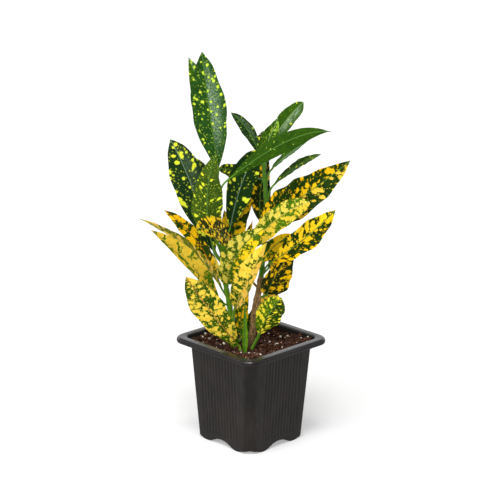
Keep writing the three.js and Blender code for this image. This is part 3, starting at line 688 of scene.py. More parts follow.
     22, 0.5, 0.7, 0.7, 12, 0, 0, 0.7, 3,
     Look("leaf", "amber", "green", (0.38, 0.42, 0.45), 0, 5.6, 1.1, 0.2, 0.6)),
    ("rear_right_mid", "right", (9, 1, 150), (15, 13, 156), (31, 46, 164), (44.5, 76, 165),
     23, 0.5, 0.75, 0.75, 12, 0, 0, 0.7, 3,
     Look("forest", "amber", "green", (0.26, 0.32, 0.36), 0, 5.6, 1.2, 0.16, 0.8)),
    ("rear_right_high", "right", (12.5, 3, 196), (22, 13, 204), (42, 38, 213), (58, 62, 212),
     25, 0.5, 0.75, 0.8, 12, 0, 0, 0.7, 3,
     Look("deep", "lemon", "green", (0.12, 0.15, 0.18), 0, 5.6, 1.1, 0.08, 0.6)),
    ("rear_top", "right", (11, 4, 246), (12, 16, 252), (12, 42, 263), (9, 66, 270),
     20, 0.52, 0.75, 0.8, 12, 0, 0, 0.7, 3,
     Look("deep", "lemon", "green", (0.06, 0.08, 0.1), 0, 5, 1, 0.05, 0.3)),
    ("shoot_blade", "shoot", (-5.4, -25, 85), (-5.4, -25.2, 88.5), (-5.2, -23, 108), (-5.6, -18, 134),
     6.8, 0.3, 0.35, 0.75, 46, 0, 0, 0.2, 2,
     Look("bright", "lime", "pale", (0.01, 0.03, 0.03), 0, 3, 1, 0.03, 0.4)),
)
LEAVES = [Leaf(*entry) for entry in LEAF_TABLE]


FADED_GREEN = (112, 136, 74)
FADED_GOLD = (204, 186, 110)
FADED_RIB = (150, 168, 104)


def blend_colour(a, b, share):
    return tuple(x + (y - x) * share for x, y in zip(a, b))


def own_colours(look, u, v):
    """Green, gold and rib at one place of the blade, and how much painted sheen it has there."""
    right = rise(v, -0.15, 0.2)
    green = blend_colour(look.green, look.right_green, right)
    gold = blend_colour(look.gold, look.right_gold, right)
    across = rise(v, 0, 0.08) * (1 - rise(v, 0.35, 0.95))
    along = rise(u, 0.05, 0.45) * (1 - rise(u, 0.72, 1))
    return green, gold, look.rib, look.painted_sheen * across * along


def faded_colours(look, u, v):
    """The same for the underside: paler, duller and without the painted sheen."""
    green, gold, rib, _ = own_colours(look, u, v)
    green = blend_colour(green, FADED_GREEN, 0.5)
    return green, blend_colour(gold, FADED_GOLD, 0.4), blend_colour(rib, FADED_RIB, 0.5), 0.0


LEAF_ROWS = 96
LEAF_COLUMNS = 24
# Power that crowds the columns towards the midrib
CROWDING = 1.5
# Gap between a new blade's two sheets, in Blender's units, only to tell them apart
SHEET_GAP = 0.01
# Blade thickness at its edge, and what its middle adds
BLADE_MARGIN = 0.34
BLADE_BODY = 0.3
# Midrib below and groove above: height or depth, half width, and how much both shrink by the tip
UNDER_RIB = 0.6
UNDER_RIB_HALF = 0.75
TOP_GROOVE = 0.16
TOP_GROOVE_HALF = 0.5
RIB_TAPER = 0.75
# Uneven edge: depth as a share of the blade's half width, and how many bites it has
BITE_DEPTH = 0.07
BITES = 7
# How far an edge sways in and out as a share of its waves' height, and its lead on them in radians
EDGE_SWAY = 0.75
SWAY_LEAD = 1.1
# Fine crimps on top of the waves, and how many there are to a wave
EDGE_CRIMP = 0.22
CRIMPS = 3.3
# How far the waves of one edge are ahead of the other's, in waves
EDGES_APART = 0.37
# How far each half is hollowed, as a share of its width
CUPPING = 0.03
# Steps in the noise from one leaf's markings to the next's, from its edges to the next's, and from
# one edge to the other
MARKING_STEP = 11.3
EDGE_STEP = 5.7
HALF_STEP = 3.1


def bell(distance, width):
    return math.exp(-((distance / width) ** 2))


def blade_point(leaf, u, v, top, number):
    """One point of a blade, on its top or underside: u from 0 to 1 along it, v from -1 to 1 across."""
    side, outward = leaf.axes(u)
    reach = leaf.reach(u)
    ragged = noise.noise(Vector((u * BITES, math.copysign(HALF_STEP, v), number * EDGE_STEP)))
    bitten = reach * (1 + BITE_DEPTH * ragged * v * v)
    phase = 2 * math.pi * (leaf.waves * u + (EDGES_APART if v > 0 else 0))
    swell = math.sin(math.pi * u)
    ripple = leaf.wave * math.sin(phase) * swell * v * v
    crimp = EDGE_CRIMP * math.sin(phase * CRIMPS + number) * swell * v ** 4
    cup = CUPPING * reach * (1 - (2 * abs(v) - 1) ** 2)
    sway = EDGE_SWAY * leaf.wave * math.sin(phase + SWAY_LEAD) * swell * v * v
    across = abs(v) * bitten + sway
    point = leaf.spine(u) + side * (math.copysign(across, v) * math.cos(leaf.fold))
    point += outward * (across * math.sin(leaf.fold) + ripple + crimp - cup)
    half = (BLADE_MARGIN + BLADE_BODY * (1 - abs(v)) ** 2) / 2
    thin = 1 - RIB_TAPER * u
    if top:
        half -= TOP_GROOVE * bell(across, TOP_GROOVE_HALF) * thin
        return point + outward * half
    half += UNDER_RIB * bell(across, UNDER_RIB_HALF) * thin
    return point - outward * half


def make_leaf(leaf, number, material):
    """One blade: two sheets joined round their edge, with its measures and colours at each point."""
    look = leaf.look
    bm = bmesh.new()
    blade = bm.verts.layers.float_vector.new("blade")
    marking = bm.verts.layers.float_vector.new("marking")
    habit = bm.verts.layers.float_vector.new("habit")
    colours = [bm.verts.layers.float_color.new(name) for name in ("ground", "fleck", "rib")]
    bmesh.ops.create_grid(bm, x_segments=LEAF_ROWS, y_segments=LEAF_COLUMNS, size=0.5)
    copy = bmesh.ops.duplicate(bm, geom=bm.verts[:] + bm.edges[:] + bm.faces[:])["geom"]
    under = [g for g in copy if isinstance(g, bmesh.types.BMVert)]
    bmesh.ops.translate(bm, verts=under, vec=(0, 0, -SHEET_GAP))
    bmesh.ops.reverse_faces(bm, faces=[g for g in copy if isinstance(g, bmesh.types.BMFace)])
    bmesh.ops.bridge_loops(bm, edges=[e for e in bm.edges if e.is_boundary])
    for vert in bm.verts:
        u = vert.co.x + 0.5
        v = math.copysign(abs(2 * vert.co.y) ** CROWDING, vert.co.y)
        top = vert.co.z > -SHEET_GAP / 2
        vert[blade] = (u * leaf.length, v * leaf.reach(u), number * MARKING_STEP)
        vert[marking] = (spot_radius(look.share(u, v)), look.size, look.stretch)
        vert[habit] = (spot_radius(look.small), float(top), look.lean)
        face_colours = own_colours if top != leaf.shows_underside else faded_colours
        *tints, sheen = face_colours(look, u, v)
        for layer, tint in zip(colours, tints):
            vert[layer] = linear(*tint)
        # The ground colour's alpha carries the share of painted sheen
        vert[colours[0]].w = sheen
        vert.co = VIEW_TURN @ blade_point(leaf, u, v, top, number) * MM
    piece = add_piece("leaf_" + leaf.name, bm, material)
    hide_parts(NODES[leaf.stem])


def add_tube(bm, line, radii, tints, woods, sides):
    """Closed round tube through a list of points, with a radius, a colour and a woodiness at each."""
    place = bm.verts.layers.float_vector["skin_place"]
    ground = bm.verts.layers.float_color["ground"]
    wood = bm.verts.layers.float["wood"]
    count = len(line) - 1
    made = bmesh.ops.create_grid(bm, x_segments=count, y_segments=sides, size=0.5)["verts"]
    side = Vector((1, 0, 0))
    frames = []
    along = 0.0
    for i, point in enumerate(line):
        run = (line[min(i + 1, count)] - line[max(i - 1, 0)]).normalized()
        side = (side - run * side.dot(run)).normalized()
        if i:
            along += (point - line[i - 1]).length
        frames.append((point, side, run.cross(side), along))
    for vert in made:
        i = round((vert.co.x + 0.5) * count)
        angle = 2 * math.pi * (vert.co.y + 0.5)
        point, side, across, reached = frames[i]
        x, y = radii[i] * math.cos(angle), radii[i] * math.sin(angle)
        vert[place] = (x, y, reached)
        vert[ground] = linear(*tints[i])
        vert[wood] = woods[i]
        vert.co = VIEW_TURN @ (point + side * x + across * y) * MM
    bmesh.ops.remove_doubles(bm, verts=made, dist=1e-6)


def smooth_line(points, parts):
    """Points on a smooth line through the given ones, each a list of numbers."""
    line = []
    last = len(points) - 1
    for i in range(last):
        before, start = Vector(points[max(i - 1, 0)]), Vector(points[i])
        end, after = Vector(points[i + 1]), Vector(points[min(i + 2, last)])
        for k in range(parts):
            t = k / parts
            line.append(0.5 * (2 * start + (end - before) * t
                               + (2 * before - 5 * start + 4 * end - after) * t ** 2
                               + (3 * start - before - 3 * end + after) * t ** 3))
    line.append(Vector(points[last]))
    return line


# Node that each stem stands for
NODES = {"left": "stem_left", "right": "stem_right", "shoot": "shoot"}
STEM_GREEN = {"left": (96, 143, 20), "right": (76, 122, 24), "shoot": (126, 178, 44)}
# Height at which each stem is half woody, and how long a stretch its skin takes to turn to bark
WOODY_BELOW = {"left": 60, "right": 152, "shoot": 40}
WOODY_SPAN = 16
# Share of the radius in STEM_LINES that a stem has, and the parts between two of its points
STEM_FULLNESS = 1.08
STEM_PARTS = 12
STEM_SIDES = 20
STALK_SIDES = 12

# Rings of old leaf scars: how many, the lowest, how far apart, and how far each may be off
RING_COUNT = 12
RING_START = 80
RING_SPACING = 7.5
RING_STRAY = 1.6
# How much thicker a stem is at a ring and where a leaf grows, and how far along it that fades.
# Leaves close together add up to no more than the limit.
RING_SWELL, RING_FADE = 0.07, 0.7
NODE_SWELL, NODE_FADE = 0.16, 2.2
NODE_LIMIT = 1.3

# Stalks: radius, the share of it that most of a stalk has, and what its foot adds over a few steps
STALK_RADIUS = 1.05
STALK_SLIM = 0.82
STALK_STEPS = 18
FOOT_SWELL, FOOT_FADE = 0.75, 2.2
STALK_GREEN = (100, 146, 30)
# How steeply a stalk sets off, and how far below the blade it runs on
STALK_CLIMB = 0.6
STALK_SUNK = 0.45
# Share of the blade's length along which it fades out, and in how many steps
TAIL_REACH = 0.14
TAIL_STEPS = 8

# Stalks that are thicker than the rest: a foot of their own or None, radius and green
STOUT_STALKS = {
    "low_right": ((-0.5, -16, 85), 1.7, (130, 182, 60)),
    "low_left_yellow": ((-8.8, -20, 85), 1.6, (112, 156, 48)),
    "front_yellow": ((-16.2, -8.2, 107), 1.45, (116, 168, 42)),
    "broad_left": (None, 2.0, (70, 118, 18)),
    "olive_upright": (None, 1.7, (76, 122, 20)),
}

# Stub of a dry twig on the right stem
TWIG_LINE = ((7, -3, 142.5), (5.2, -4.6, 144.2), (3.6, -5.6, 146), (2.4, -6.2, 147.8), (1.8, -6.4, 149))
TWIG_RADII = (1.3, 1.2, 1.05, 1.15, 0.8)
TWIG_BROWN = (110, 76, 48)


def make_stem(name, material):
    """One stem with the stalks of its leaves."""
    bm = bmesh.new()
    bm.verts.layers.float_vector.new("skin_place")
    bm.verts.layers.float_color.new("ground")
    bm.verts.layers.float.new("wood")
    line = smooth_line(STEM_LINES[name], STEM_PARTS)
    leaves = [leaf for leaf in LEAVES if leaf.stem == name]
    scars = random.Random(name)
    rings = []
    for k in range(RING_COUNT):
        rings.append(RING_START + RING_SPACING * k + scars.uniform(-RING_STRAY, RING_STRAY))
    radii, woods = [], []
    for p in line:
        at = p.xyz
        node = sum(bell((at - leaf.root).length, NODE_FADE) for leaf in leaves)
        ring = sum(bell(at.z - z, RING_FADE) for z in rings)
        swell = NODE_SWELL * min(node, NODE_LIMIT) + RING_SWELL * ring
        radii.append(STEM_FULLNESS * p.w * (1 + swell))
        woods.append(min(max((WOODY_BELOW[name] - at.z) / WOODY_SPAN + 0.5, 0), 1))
    radii[0] = radii[-1] = 0
    tints = [STEM_GREEN[name]] * len(line)
    add_tube(bm, [p.xyz for p in line], radii, tints, woods, STEM_SIDES)
    for leaf in leaves:
        add_stalk(bm, leaf, name)
    if name == "right":
        add_twig(bm)
    piece = add_piece(NODES[name] + "_skin", bm, material)
    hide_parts(NODES[name])


def add_twig(bm):
    """The twig's stub, which comes to a point at each end."""
    ends = [Vector(p) for p in (TWIG_LINE[0], *TWIG_LINE, TWIG_LINE[-1])]
    add_tube(bm, ends, [0, *TWIG_RADII, 0], [TWIG_BROWN] * len(ends), [1.0] * len(ends), STALK_SIDES)


def add_stalk(bm, leaf, stem):
    """Curved stalk from the stem to a blade, which it runs on under for a little."""
    plain = None, STALK_RADIUS, STEM_GREEN[stem]
    foot, stalk_radius, stalk_green = STOUT_STALKS.get(leaf.name, plain)
    foot = Vector(foot or leaf.root)
    run = leaf.base - foot
    climb = (Vector((0, 0, STALK_CLIMB)) + run.normalized()).normalized()
    _, outward = leaf.axes(0.1)
    sunk = outward * -STALK_SUNK
    a, b = foot, foot + climb * run.length / 3
    c, d = leaf.base - leaf.heading(0) * run.length / 3, leaf.base + sunk * 0.5
    blade_green = blend_colour(leaf.look.rib, STALK_GREEN, 0.75)
    line, radii, tints = [], [], []
    for k in range(STALK_STEPS + 1):
        t = k / STALK_STEPS
        line.append(a * (1 - t) ** 3 + b * 3 * t * (1 - t) ** 2 + c * 3 * t * t * (1 - t) + d * t ** 3)
        radii.append(stalk_radius * (STALK_SLIM + FOOT_SWELL * bell(k, FOOT_FADE)))
        tints.append(blend_colour(stalk_green, blade_green, t))
    for k in range(1, TAIL_STEPS + 1):
        share = k / TAIL_STEPS
        line.append(leaf.spine(TAIL_REACH * k / TAIL_STEPS) + sunk)
        radii.append(STALK_SLIM * stalk_radius * (1 - share) ** 0.7 + 0.02)
        tints.append(tints[-1])
    radii[0] = radii[-1] = 0
    add_tube(bm, line, radii, tints, [0.0] * len(line), STALK_SIDES)


def make_plant():
    leaf_material = leaf_finish()
    stem_material = stem_finish()
    for number, leaf in enumerate(LEAVES):
        make_leaf(leaf, number, leaf_material)
    for name in STEM_LINES:
        make_stem(name, stem_material)


# Rim: half its side, its top, the radius of its bead, how far down it is polished, and its skirt
RIM_HALF = 51
RIM_TOP = 95.4
RIM_BEAD = 2.3
RIM_GLOSS = 1.3
SKIRT = 4.9
RIM_LOW = RIM_TOP - SKIRT
# Wall: half its side and the width of its cut corners, at the base and under the rim, and thickness
BASE_HALF = 36.2
NECK_HALF = 41.8
BASE_CHAMFER = 7.7
NECK_CHAMFER = 7.2
WALL = 1.4
# Floor, centre foot and drain holes
FLOOR_UNDER = 7
FLOOR_TOP = 8.5
CENTRE_FOOT_RADIUS = 6
CENTRE_FOOT_HEIGHT = FLOOR_UNDER + 0.4
DRAIN_RADIUS = 4.5
DRAIN_OFFSET = 18
DRAIN_CUT = 4
# Grooves of one face: how many, from middle to middle, width, depth, and where they start and end
GROOVES = 12
GROOVE_PITCH = 3.85
GROOVE_WIDTH = 1.9
GROOVE_DEPTH = 0.42
GROOVE_LOW = 8.5
GROOVE_HIGH = 89
# Half the width of the slope at a groove's sides, and the length of the one at its ends
GROOVE_SLOPE = 0.45
GROOVE_RUN_OUT = 2

# Lower edge of the wall: distance from a face's middle, and height
LOWER_EDGE = (
    (0, 5.4), (2.5, 5.3), (6, 4.6), (10, 2.8), (14, 0.9), (17, 0), (20, 0), (22.5, 0.3), (25, 1.2),
    (28.5, 2.2), (33.9, 2.8),
)
# Heights of the wall's rings: shares of the way up from the lower edge to LEVEL, then millimetres
LOW_SHARES = (0, 0.08, 0.2, 0.4, 0.7, 1)
LEVEL = 8
HEIGHTS = (8.5, 9, 9.6, 10.3, 14, 24, 40, 56, 72, 84, 87, 87.6, 88.3, 89, 90, RIM_LOW + 2)
INNER_HEIGHTS = (RIM_LOW + 2, 60, 30, FLOOR_TOP)
UNDER_SHARES = (0.6, 0.25, 0)
# Steps along a face, a cut corner and a corner of the rim
FACE_STEPS = 200
CHAMFER_STEPS = 14
QUARTER_STEPS = FACE_STEPS + CHAMFER_STEPS
CORNER_STEPS = 16
# Radius, about, that the wall's upright edges and the rim's edges are rounded to
EDGE_ROUNDING = 0.9
# Edges of the pot that turn by more than this many degrees stay sharp
POT_SHARP = 38


def wall_half(z):
    return BASE_HALF + (NECK_HALF - BASE_HALF) * z / RIM_LOW


def chamfer_at(z):
    return BASE_CHAMFER + (NECK_CHAMFER - BASE_CHAMFER) * z / RIM_LOW


def groove_depth(x, z):
    """How deep the ribbed face is cut at x from its middle."""
    if abs(x) > GROOVES / 2 * GROOVE_PITCH:
        return 0.0
    off = abs((x / GROOVE_PITCH + GROOVES / 2) % 1 - 0.5) * GROOVE_PITCH
    cut = 1 - rise(off, GROOVE_WIDTH / 2 - GROOVE_SLOPE, GROOVE_WIDTH / 2 + GROOVE_SLOPE)
    start = rise(z, GROOVE_LOW, GROOVE_LOW + GROOVE_RUN_OUT)
    end = 1 - rise(z, GROOVE_HIGH - GROOVE_RUN_OUT, GROOVE_HIGH)
    return GROOVE_DEPTH * cut * (start * end)


def rounding(distance):
    """How far the wall draws in at a distance from an upright edge."""
    return EDGE_ROUNDING * 0.2 * math.exp(-distance / EDGE_ROUNDING)


def wall_point(index, z, inset=0.0, ribbed=False):
    """Point of the pot's wall at one height: four faces and their cut corners, counted round."""
    quarter, i = divmod(index, QUARTER_STEPS)
    half = wall_half(z) - inset
    face = half - chamfer_at(z) + inset * (2 - math.sqrt(2))
    if i < FACE_STEPS:
        x = face * (2 * i / FACE_STEPS - 1)
        cut = groove_depth(x, z) if ribbed else 0
        point = Vector((x, -half + cut + rounding(face - abs(x)), z))
    else:
        share = (i - FACE_STEPS) / CHAMFER_STEPS
        start, end = Vector((face, -half, z)), Vector((half, -face, z))
        edge = min(share, 1 - share) * (end - start).length
        point = start.lerp(end, share) + Vector((-1, 1, 0)).normalized() * rounding(edge)
    return Matrix.Rotation(math.radians(90 * quarter), 3, "Z") @ point


def lower_edge(index):
    """Height of the wall's lower edge at one point round it."""
    i = index % QUARTER_STEPS
    face = BASE_HALF - BASE_CHAMFER
    if i < FACE_STEPS:
        away = abs(face * (2 * i / FACE_STEPS - 1))
    else:
        share = (i - FACE_STEPS) / CHAMFER_STEPS
        away = face + min(share, 1 - share) * BASE_CHAMFER * math.sqrt(2)
    for (near, low), (far, high) in zip(LOWER_EDGE, LOWER_EDGE[1:]):
        if away <= far:
            return low + (high - low) * rise(away, near, far)
    return LOWER_EDGE[-1][1]


def wall_ring(z, inset=0.0, ribbed=False):
    return [wall_point(k, z, inset, ribbed) for k in range(4 * QUARTER_STEPS)]


def low_ring(share, top, inset=0.0, ribbed=False):
    """Ring at a share of the way up from the wall's lower edge to a level height."""
    ring = []
    for k in range(4 * QUARTER_STEPS):
        low = lower_edge(k)
        ring.append(wall_point(k, low + (top - low) * share, inset, ribbed))
    return ring


def loft(bm, rings):
    """Wall through rings of the same number of points: a circle drawn out from ring to ring."""
    count = len(rings[0])
    row = bmesh.ops.create_circle(bm, segments=count, radius=1)["verts"]
    first = row
    for vert, point in zip(row, rings[0]):
        vert.co = point * MM
    for ring in rings[1:]:
        edges = [bm.edges.get((row[i], row[(i + 1) % count])) for i in range(count)]
        drawn = bmesh.ops.extrude_edge_only(bm, edges=edges)["geom"]
        drawn = {vert.co.to_tuple(9): vert for vert in drawn if isinstance(vert, bmesh.types.BMVert)}
        row = [drawn[vert.co.to_tuple(9)] for vert in row]
        for vert, point in zip(row, ring):
            vert.co = point * MM
    return first, row


def bridge_open_ends(bm):
    bmesh.ops.bridge_loops(bm, edges=[e for e in bm.edges if e.is_boundary])


def add_rod(bm, radius, height, middle, segments):
    """Closed upright rod round its middle."""
    rod = bmesh.ops.create_cone(
        bm, cap_ends=True, segments=segments, radius1=radius * MM, radius2=radius * MM,
        depth=height * MM,
    )["verts"]
    bmesh.ops.translate(bm, verts=rod, vec=[c * MM for c in middle])


def rounded_ring(half, radius, z):
    """Square ring with round corners."""
    ring = []
    for corner in range(4):
        middle = (corner + 0.5) * math.pi / 2
        cx = math.sqrt(2) * (half - radius) * math.cos(middle)
        cy = math.sqrt(2) * (half - radius) * math.sin(middle)
        for i in range(CORNER_STEPS + 1):
            a = corner * math.pi / 2 + i / CORNER_STEPS * math.pi / 2
            ring.append(Vector((cx + radius * math.cos(a), cy + radius * math.sin(a), z)))
    return ring


def rim_section():
    """Half side, height and corner radius round the rim's section, with its edges rounded."""
    low = RIM_LOW
    wall, under = NECK_HALF - WALL, RIM_TOP - 1.7
    section = [
        (wall, low - 1, 8.9), (wall + 0.1, low + 0.5, 8.9), (RIM_HALF - 8.6, low + 1.1, 7.4),
        (RIM_HALF - 8.2, RIM_TOP - 0.6, 6.8), (RIM_HALF - 7.7, RIM_TOP, 7),
        *[(RIM_HALF - RIM_BEAD * (1 - math.sin(a)), RIM_TOP - RIM_BEAD * (1 - math.cos(a)),
           12.1 - 0.3 * RIM_BEAD * (1 - math.sin(a))) for a in (k * math.pi / 12 for k in range(7))],
        (RIM_HALF - 0.1, low + 0.6, 12), (RIM_HALF - 0.6, low, 11.9), (RIM_HALF - 1.5, low, 11.7),
        (RIM_HALF - 1.7, under, 11.6), (RIM_HALF - 6.7, under, 8.1), (RIM_HALF - 6.9, low + 0.8, 8),
        (NECK_HALF - 0.1, low - 0.2, 9.3), (NECK_HALF - 0.1, low - 1, 9.3),
    ]
    soft = []
    for i, corner in enumerate(section):
        before, after = Vector(section[i - 1]), Vector(section[(i + 1) % len(section)])
        corner = Vector(corner)
        cut = min(EDGE_ROUNDING, (before - corner).length * 0.45, (after - corner).length * 0.45)
        start = corner + (before - corner).normalized() * cut
        end = corner + (after - corner).normalized() * cut
        for t in (0, 0.33, 0.67, 1):
            soft.append(start * (1 - t) ** 2 + corner * 2 * t * (1 - t) + end * t * t)
    return soft


def add_wall(bm):
    """Ribbed wall with its inner side, the floor and the hollow under the floor."""
    outer = [low_ring(share, LEVEL, ribbed=True) for share in LOW_SHARES]
    outer += [wall_ring(z, ribbed=True) for z in HEIGHTS]
    inner = [wall_ring(z, WALL) for z in INNER_HEIGHTS]
    under = [wall_ring(FLOOR_UNDER, WALL)]
    under += [low_ring(share, FLOOR_UNDER, WALL) for share in UNDER_SHARES]
    _, floor = loft(bm, outer + inner)
    bmesh.ops.contextual_create(bm, geom=floor)
    ceiling, _ = loft(bm, under)
    bmesh.ops.contextual_create(bm, geom=ceiling)
    bridge_open_ends(bm)


def drill_drains(pot):
    """Cuts the four drain holes."""
    bm = bmesh.new()
    middle = (FLOOR_UNDER + FLOOR_TOP) / 2
    for x in (-DRAIN_OFFSET, DRAIN_OFFSET):
        for y in (-DRAIN_OFFSET, DRAIN_OFFSET):
            add_rod(bm, DRAIN_RADIUS, DRAIN_CUT, (x, y, middle), 32)
    mesh = bpy.data.meshes.new("drains")
    bm.to_mesh(mesh)
    bm.free()
    cutter = add_object("drains", mesh)
    drill = pot.modifiers.new("drains", "BOOLEAN")
    drill.object = cutter
    drill.operation = "DIFFERENCE"
    drill.solver = "EXACT"
    drill.use_self = True
    bpy.context.view_layer.update()
    cut = bpy.data.meshes.new_from_object(pot.evaluated_get(bpy.context.evaluated_depsgraph_get()))
    pot.modifiers.clear()
    pot.data = cut
    bpy.data.objects.remove(cutter)
    bpy.data.meshes.remove(mesh)


def make_pot(body_material, rim_material):
    bm = bmesh.new()
    add_wall(bm)
    loft(bm, [rounded_ring(half, radius, z) for half, z, radius in rim_section()])
    bridge_open_ends(bm)
    add_rod(bm, CENTRE_FOOT_RADIUS, CENTRE_FOOT_HEIGHT, (0, 0, CENTRE_FOOT_HEIGHT / 2), 48)
    pot = add_piece("nursery_pot", bm, body_material)
    drill_drains(pot)
    pot.data.materials.append(rim_material)
    for face in pot.data.polygons:
        face.material_index = int(face.center.z > (RIM_TOP - RIM_GLOSS) * MM)
    pot.data.shade_smooth()
    pot.data.set_sharp_from_angle(angle=math.radians(POT_SHARP))
    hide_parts("pot")


# Soil: its level in the middle, how much higher it lies by the rim and between which distances from
# the middle it rises, its half side and corner radius at the top, the height at which it takes on the
# wall's cut corners, and its gap to the wall and floor
SOIL_LEVEL = 88.6
SOIL_HEAP = 3.4
HEAP_SPAN = (22, 46)
SOIL_HALF = 42.2
SOIL_CORNER = 7
SOIL_NECK = 90.6
SOIL_STEPS = 200
SEAT_GAP = 0.3
# How far the soil drops off at its very edge
SOIL_EDGE_DROP = 0.7


def soil_height(x, y):
    """Height of the soil without its crumbs."""
    swell = 0.7 * math.sin(0.11 * x + 0.6) * math.cos(0.09 * y - 0.4)
    heap = SOIL_HEAP * rise(math.hypot(x, y), *HEAP_SPAN)
    return SOIL_LEVEL + heap + swell + 0.4 * math.sin(0.43 * x + 1.7) * math.sin(0.39 * y + 0.3)


def soil_relief(x, y):
    """How far clods and crumbs stand up from the soil or lie below it."""
    place = Vector((x, y, 0))
    clods = noise.fractal(place * 0.16, 0.9, 2.1, 4)
    crumbs = noise.fractal(place * 0.55 + Vector((7, 3, 1)), 0.7, 2.1, 3)
    return 0.9 * clods + 0.85 * crumbs


def soil_surface(x, y):
    return soil_height(x, y) + soil_relief(x, y)


def round_corner(x, y, half, radius):
    """Point of a square's edge, brought onto the same square with round corners."""
    middle = half - radius
    if min(abs(x), abs(y)) <= middle:
        return x, y
    out = Vector((abs(x) - middle, abs(y) - middle)).normalized() * radius
    return math.copysign(middle + out.x, x), math.copysign(middle + out.y, y)


def cut_corner(x, y, half, face):
    """Point of a square's edge, brought onto the same square with cut corners."""
    over = max(abs(x) + abs(y) - (half + face), 0)
    return x - math.copysign(over / 2, x), y - math.copysign(over / 2, y)


def make_soil(material):
    """One body of soil: its crumbly top, drawn down inside the wall to the floor."""
    bm = bmesh.new()
    relief = bm.verts.layers.float.new("soil_relief")
    top = bmesh.ops.create_grid(bm, x_segments=SOIL_STEPS, y_segments=SOIL_STEPS, size=1)["verts"]
    sides = {}
    for vert in top:
        share = max(abs(vert.co.x), abs(vert.co.y))
        side = vert.co.xy / share if share else Vector((1, 0))
        x, y = round_corner(side.x * SOIL_HALF, side.y * SOIL_HALF, SOIL_HALF, SOIL_CORNER)
        x, y = x * share, y * share
        z = soil_surface(x, y) - SOIL_EDGE_DROP * rise(share, 0.95, 1)
        vert[relief] = 0.5 + 0.6 * soil_relief(x, y)
        vert.co = Vector((x, y, z)) * MM
        if share > 0.9999:
            sides[vert.co.to_tuple(9)] = side
    for z in (SOIL_NECK, FLOOR_TOP + SEAT_GAP):
        half = wall_half(z) - WALL - SEAT_GAP
        face = half - chamfer_at(z) + 0.5
        drawn = bmesh.ops.extrude_edge_only(bm, edges=[e for e in bm.edges if e.is_boundary])["geom"]
        moved = {}
        for vert in (g for g in drawn if isinstance(g, bmesh.types.BMVert)):
            side = sides[vert.co.to_tuple(9)]
            x, y = cut_corner(side.x * half, side.y * half, half, face)
            vert.co = Vector((x, y, z)) * MM
            moved[vert.co.to_tuple(9)] = side
        sides = moved
    bmesh.ops.contextual_create(bm, geom=[e for e in bm.edges if e.is_boundary])
    soil = add_piece("peat_soil", bm, material)
    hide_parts("soil")


# Loose bits in the soil: piece, material, its dark and light colour, the scale of its mottling and its
# roughness, then how many, seed, smallest and largest size, how much longer than wide, how high the
# middle lies as a share of the size, how ragged, and whether they are smooth
BITS = (
    ("perlite", "perlite_white", (206, 196, 178), (246, 240, 228), 900, 0.85,
     150, 3, 0.6, 3.1, (0.9, 1.4), 0.2, 0.5, True),
    ("peat_crumbs", "crumb_brown", (18, 9, 5), (104, 60, 39), 420, 0.85,
     1500, 12, 0.7, 2.6, (0.9, 1.8), 0.1, 0.9, False),
    ("bark_chips", "bark_brown", (18, 9, 6), (90, 53, 36), 420, 0.8,
     420, 5, 0.9, 4.2, (1.2, 2.6), 0.08, 0.7, False),
    ("pale_chips", "chip_tan", (112, 78, 54), (176, 134, 102), 420, 0.8,
     130, 8, 0.5, 2.0, (1.4, 3.6), 0.16, 0.7, False),
)
# Bits keep this far from the soil's side, and this far from its cut corners, measured along a side
BITS_MARGIN = 0.8
BITS_CORNER = 6


def scatter(bm, count, seed, low, high, stretch, lift, rough):
    """Strews small lumps over the soil."""
    draw = random.Random(seed)
    half = SOIL_HALF - BITS_MARGIN
    for _ in range(count):
        x, y = draw.uniform(-half, half), draw.uniform(-half, half)
        if abs(x) + abs(y) > 2 * half - BITS_CORNER:
            continue
        size = low + (high - low) * draw.random() ** 2.2
        scale = Matrix.Diagonal((draw.uniform(*stretch), 1, draw.uniform(0.45, 0.9)))
        spin = Matrix.Rotation(draw.uniform(0, 6.28), 3, "Z")
        turn = spin @ Matrix.Rotation(draw.uniform(-0.7, 0.7), 3, "Y")
        at = Vector((x, y, soil_surface(x, y) + size * lift))
        for vert in bmesh.ops.create_icosphere(bm, subdivisions=1, radius=size / 2)["verts"]:
            lump = vert.co * (1 + rough * (draw.random() - 0.5))
            vert.co = (turn @ (scale @ lump) + at) * MM


def make_bits():
    for entry in BITS:
        name, finish, strewn, smooth = entry[0], entry[1:6], entry[6:13], entry[13]
        bm = bmesh.new()
        scatter(bm, *strewn)
        bits = add_piece(name, bm, bit_finish(*finish), smooth)


# Floor: its half side in metres, and a grey that glows a little, so that the arches under the pot
# stand out against it
FLOOR_SIDE = 12
FLOOR_GREY = (0.62, 0.62, 0.62, 1)
FLOOR_GLOW = 0.36
WHITE = (1, 1, 1, 1)


def make_floor():
    bm = bmesh.new()
    bmesh.ops.create_grid(bm, x_segments=1, y_segments=1, size=FLOOR_SIDE)
    mesh = bpy.data.meshes.new("floor")
    bm.to_mesh(mesh)
    bm.free()
    f = Finish("pale_floor", roughness=0.9, specular=0.1)
    f.colour(FLOOR_GREY)
    f.put(f.shader.inputs["Emission Color"], WHITE)
    f.put(f.shader.inputs["Emission Strength"], FLOOR_GLOW)
    mesh.materials.append(f.material)
    add_object("floor", mesh)


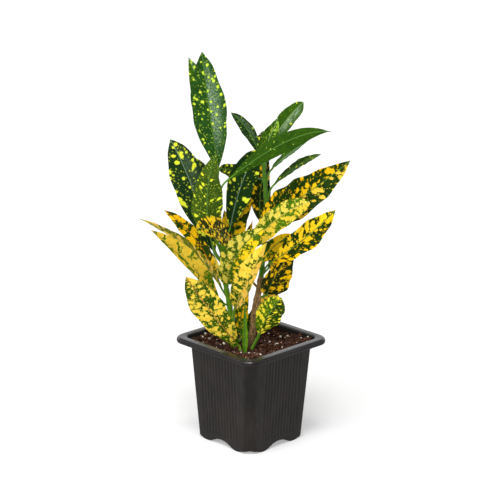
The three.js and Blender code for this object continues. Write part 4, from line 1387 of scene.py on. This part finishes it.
# Lamps far off: name, direction of their light, width in degrees, and power
SUNS = (
    ("sun_left", (0.42, 0.8, -1.2), 50, 1.75),
    ("sun_top", (0.04, 0.42, -1.4), 16, 1.25),
)
# The sky is brighter low down than overhead, and dimmer to the right by this share
SKY_FALL = (("From Min", 0.3), ("From Max", 0.6), ("To Min", 1.15), ("To Max", 0.22))
RIGHT_DIMMING = 0.2


def make_light():
    for name, aim, angle, power in SUNS:
        data = bpy.data.lights.new(name, "SUN")
        data.angle = math.radians(angle)
        data.energy = power
        lamp = add_object(name, data)
        lamp.rotation_euler = (VIEW_TURN @ Vector(aim)).to_track_quat("-Z", "Y").to_euler()
    world = bpy.data.worlds.new("studio")
    world.use_nodes = True
    nodes, links = world.node_tree.nodes, world.node_tree.links
    height = nodes.new("ShaderNodeSeparateXYZ")
    toward = nodes.new("ShaderNodeTexCoord").outputs["Generated"]
    links.new(toward, height.inputs[0])
    fall = nodes.new("ShaderNodeMapRange")
    fall.interpolation_type = "SMOOTHSTEP"
    for socket, value in SKY_FALL:
        fall.inputs[socket].default_value = value
    links.new(height.outputs["Z"], fall.inputs["Value"])
    rightward = nodes.new("ShaderNodeVectorMath")
    rightward.operation = "DOT_PRODUCT"
    links.new(toward, rightward.inputs[0])
    rightward.inputs[1].default_value = VIEW_TURN @ Vector((-RIGHT_DIMMING, 0, 0))
    strength = nodes.new("ShaderNodeMath")
    strength.operation = "MULTIPLY_ADD"
    links.new(fall.outputs["Result"], strength.inputs[0])
    links.new(rightward.outputs["Value"], strength.inputs[1])
    links.new(fall.outputs["Result"], strength.inputs[2])
    backdrop = nodes["Background"]
    backdrop.inputs["Color"].default_value = WHITE
    links.new(strength.outputs[0], backdrop.inputs["Strength"])
    bpy.context.scene.world = world
    bpy.context.scene.view_settings.view_transform = "Standard"


make_camera()
make_plant()
make_pot(
    pot_finish("charcoal_plastic", (26, 23, 21), (35, 31, 28), 0.155, 0.36, 0.5),
    pot_finish("rim_plastic", (30, 29, 32), (38, 37, 40), 0.6, 0.1, 0.2),
)
make_soil(soil_finish())
make_bits()
make_floor()
make_light()
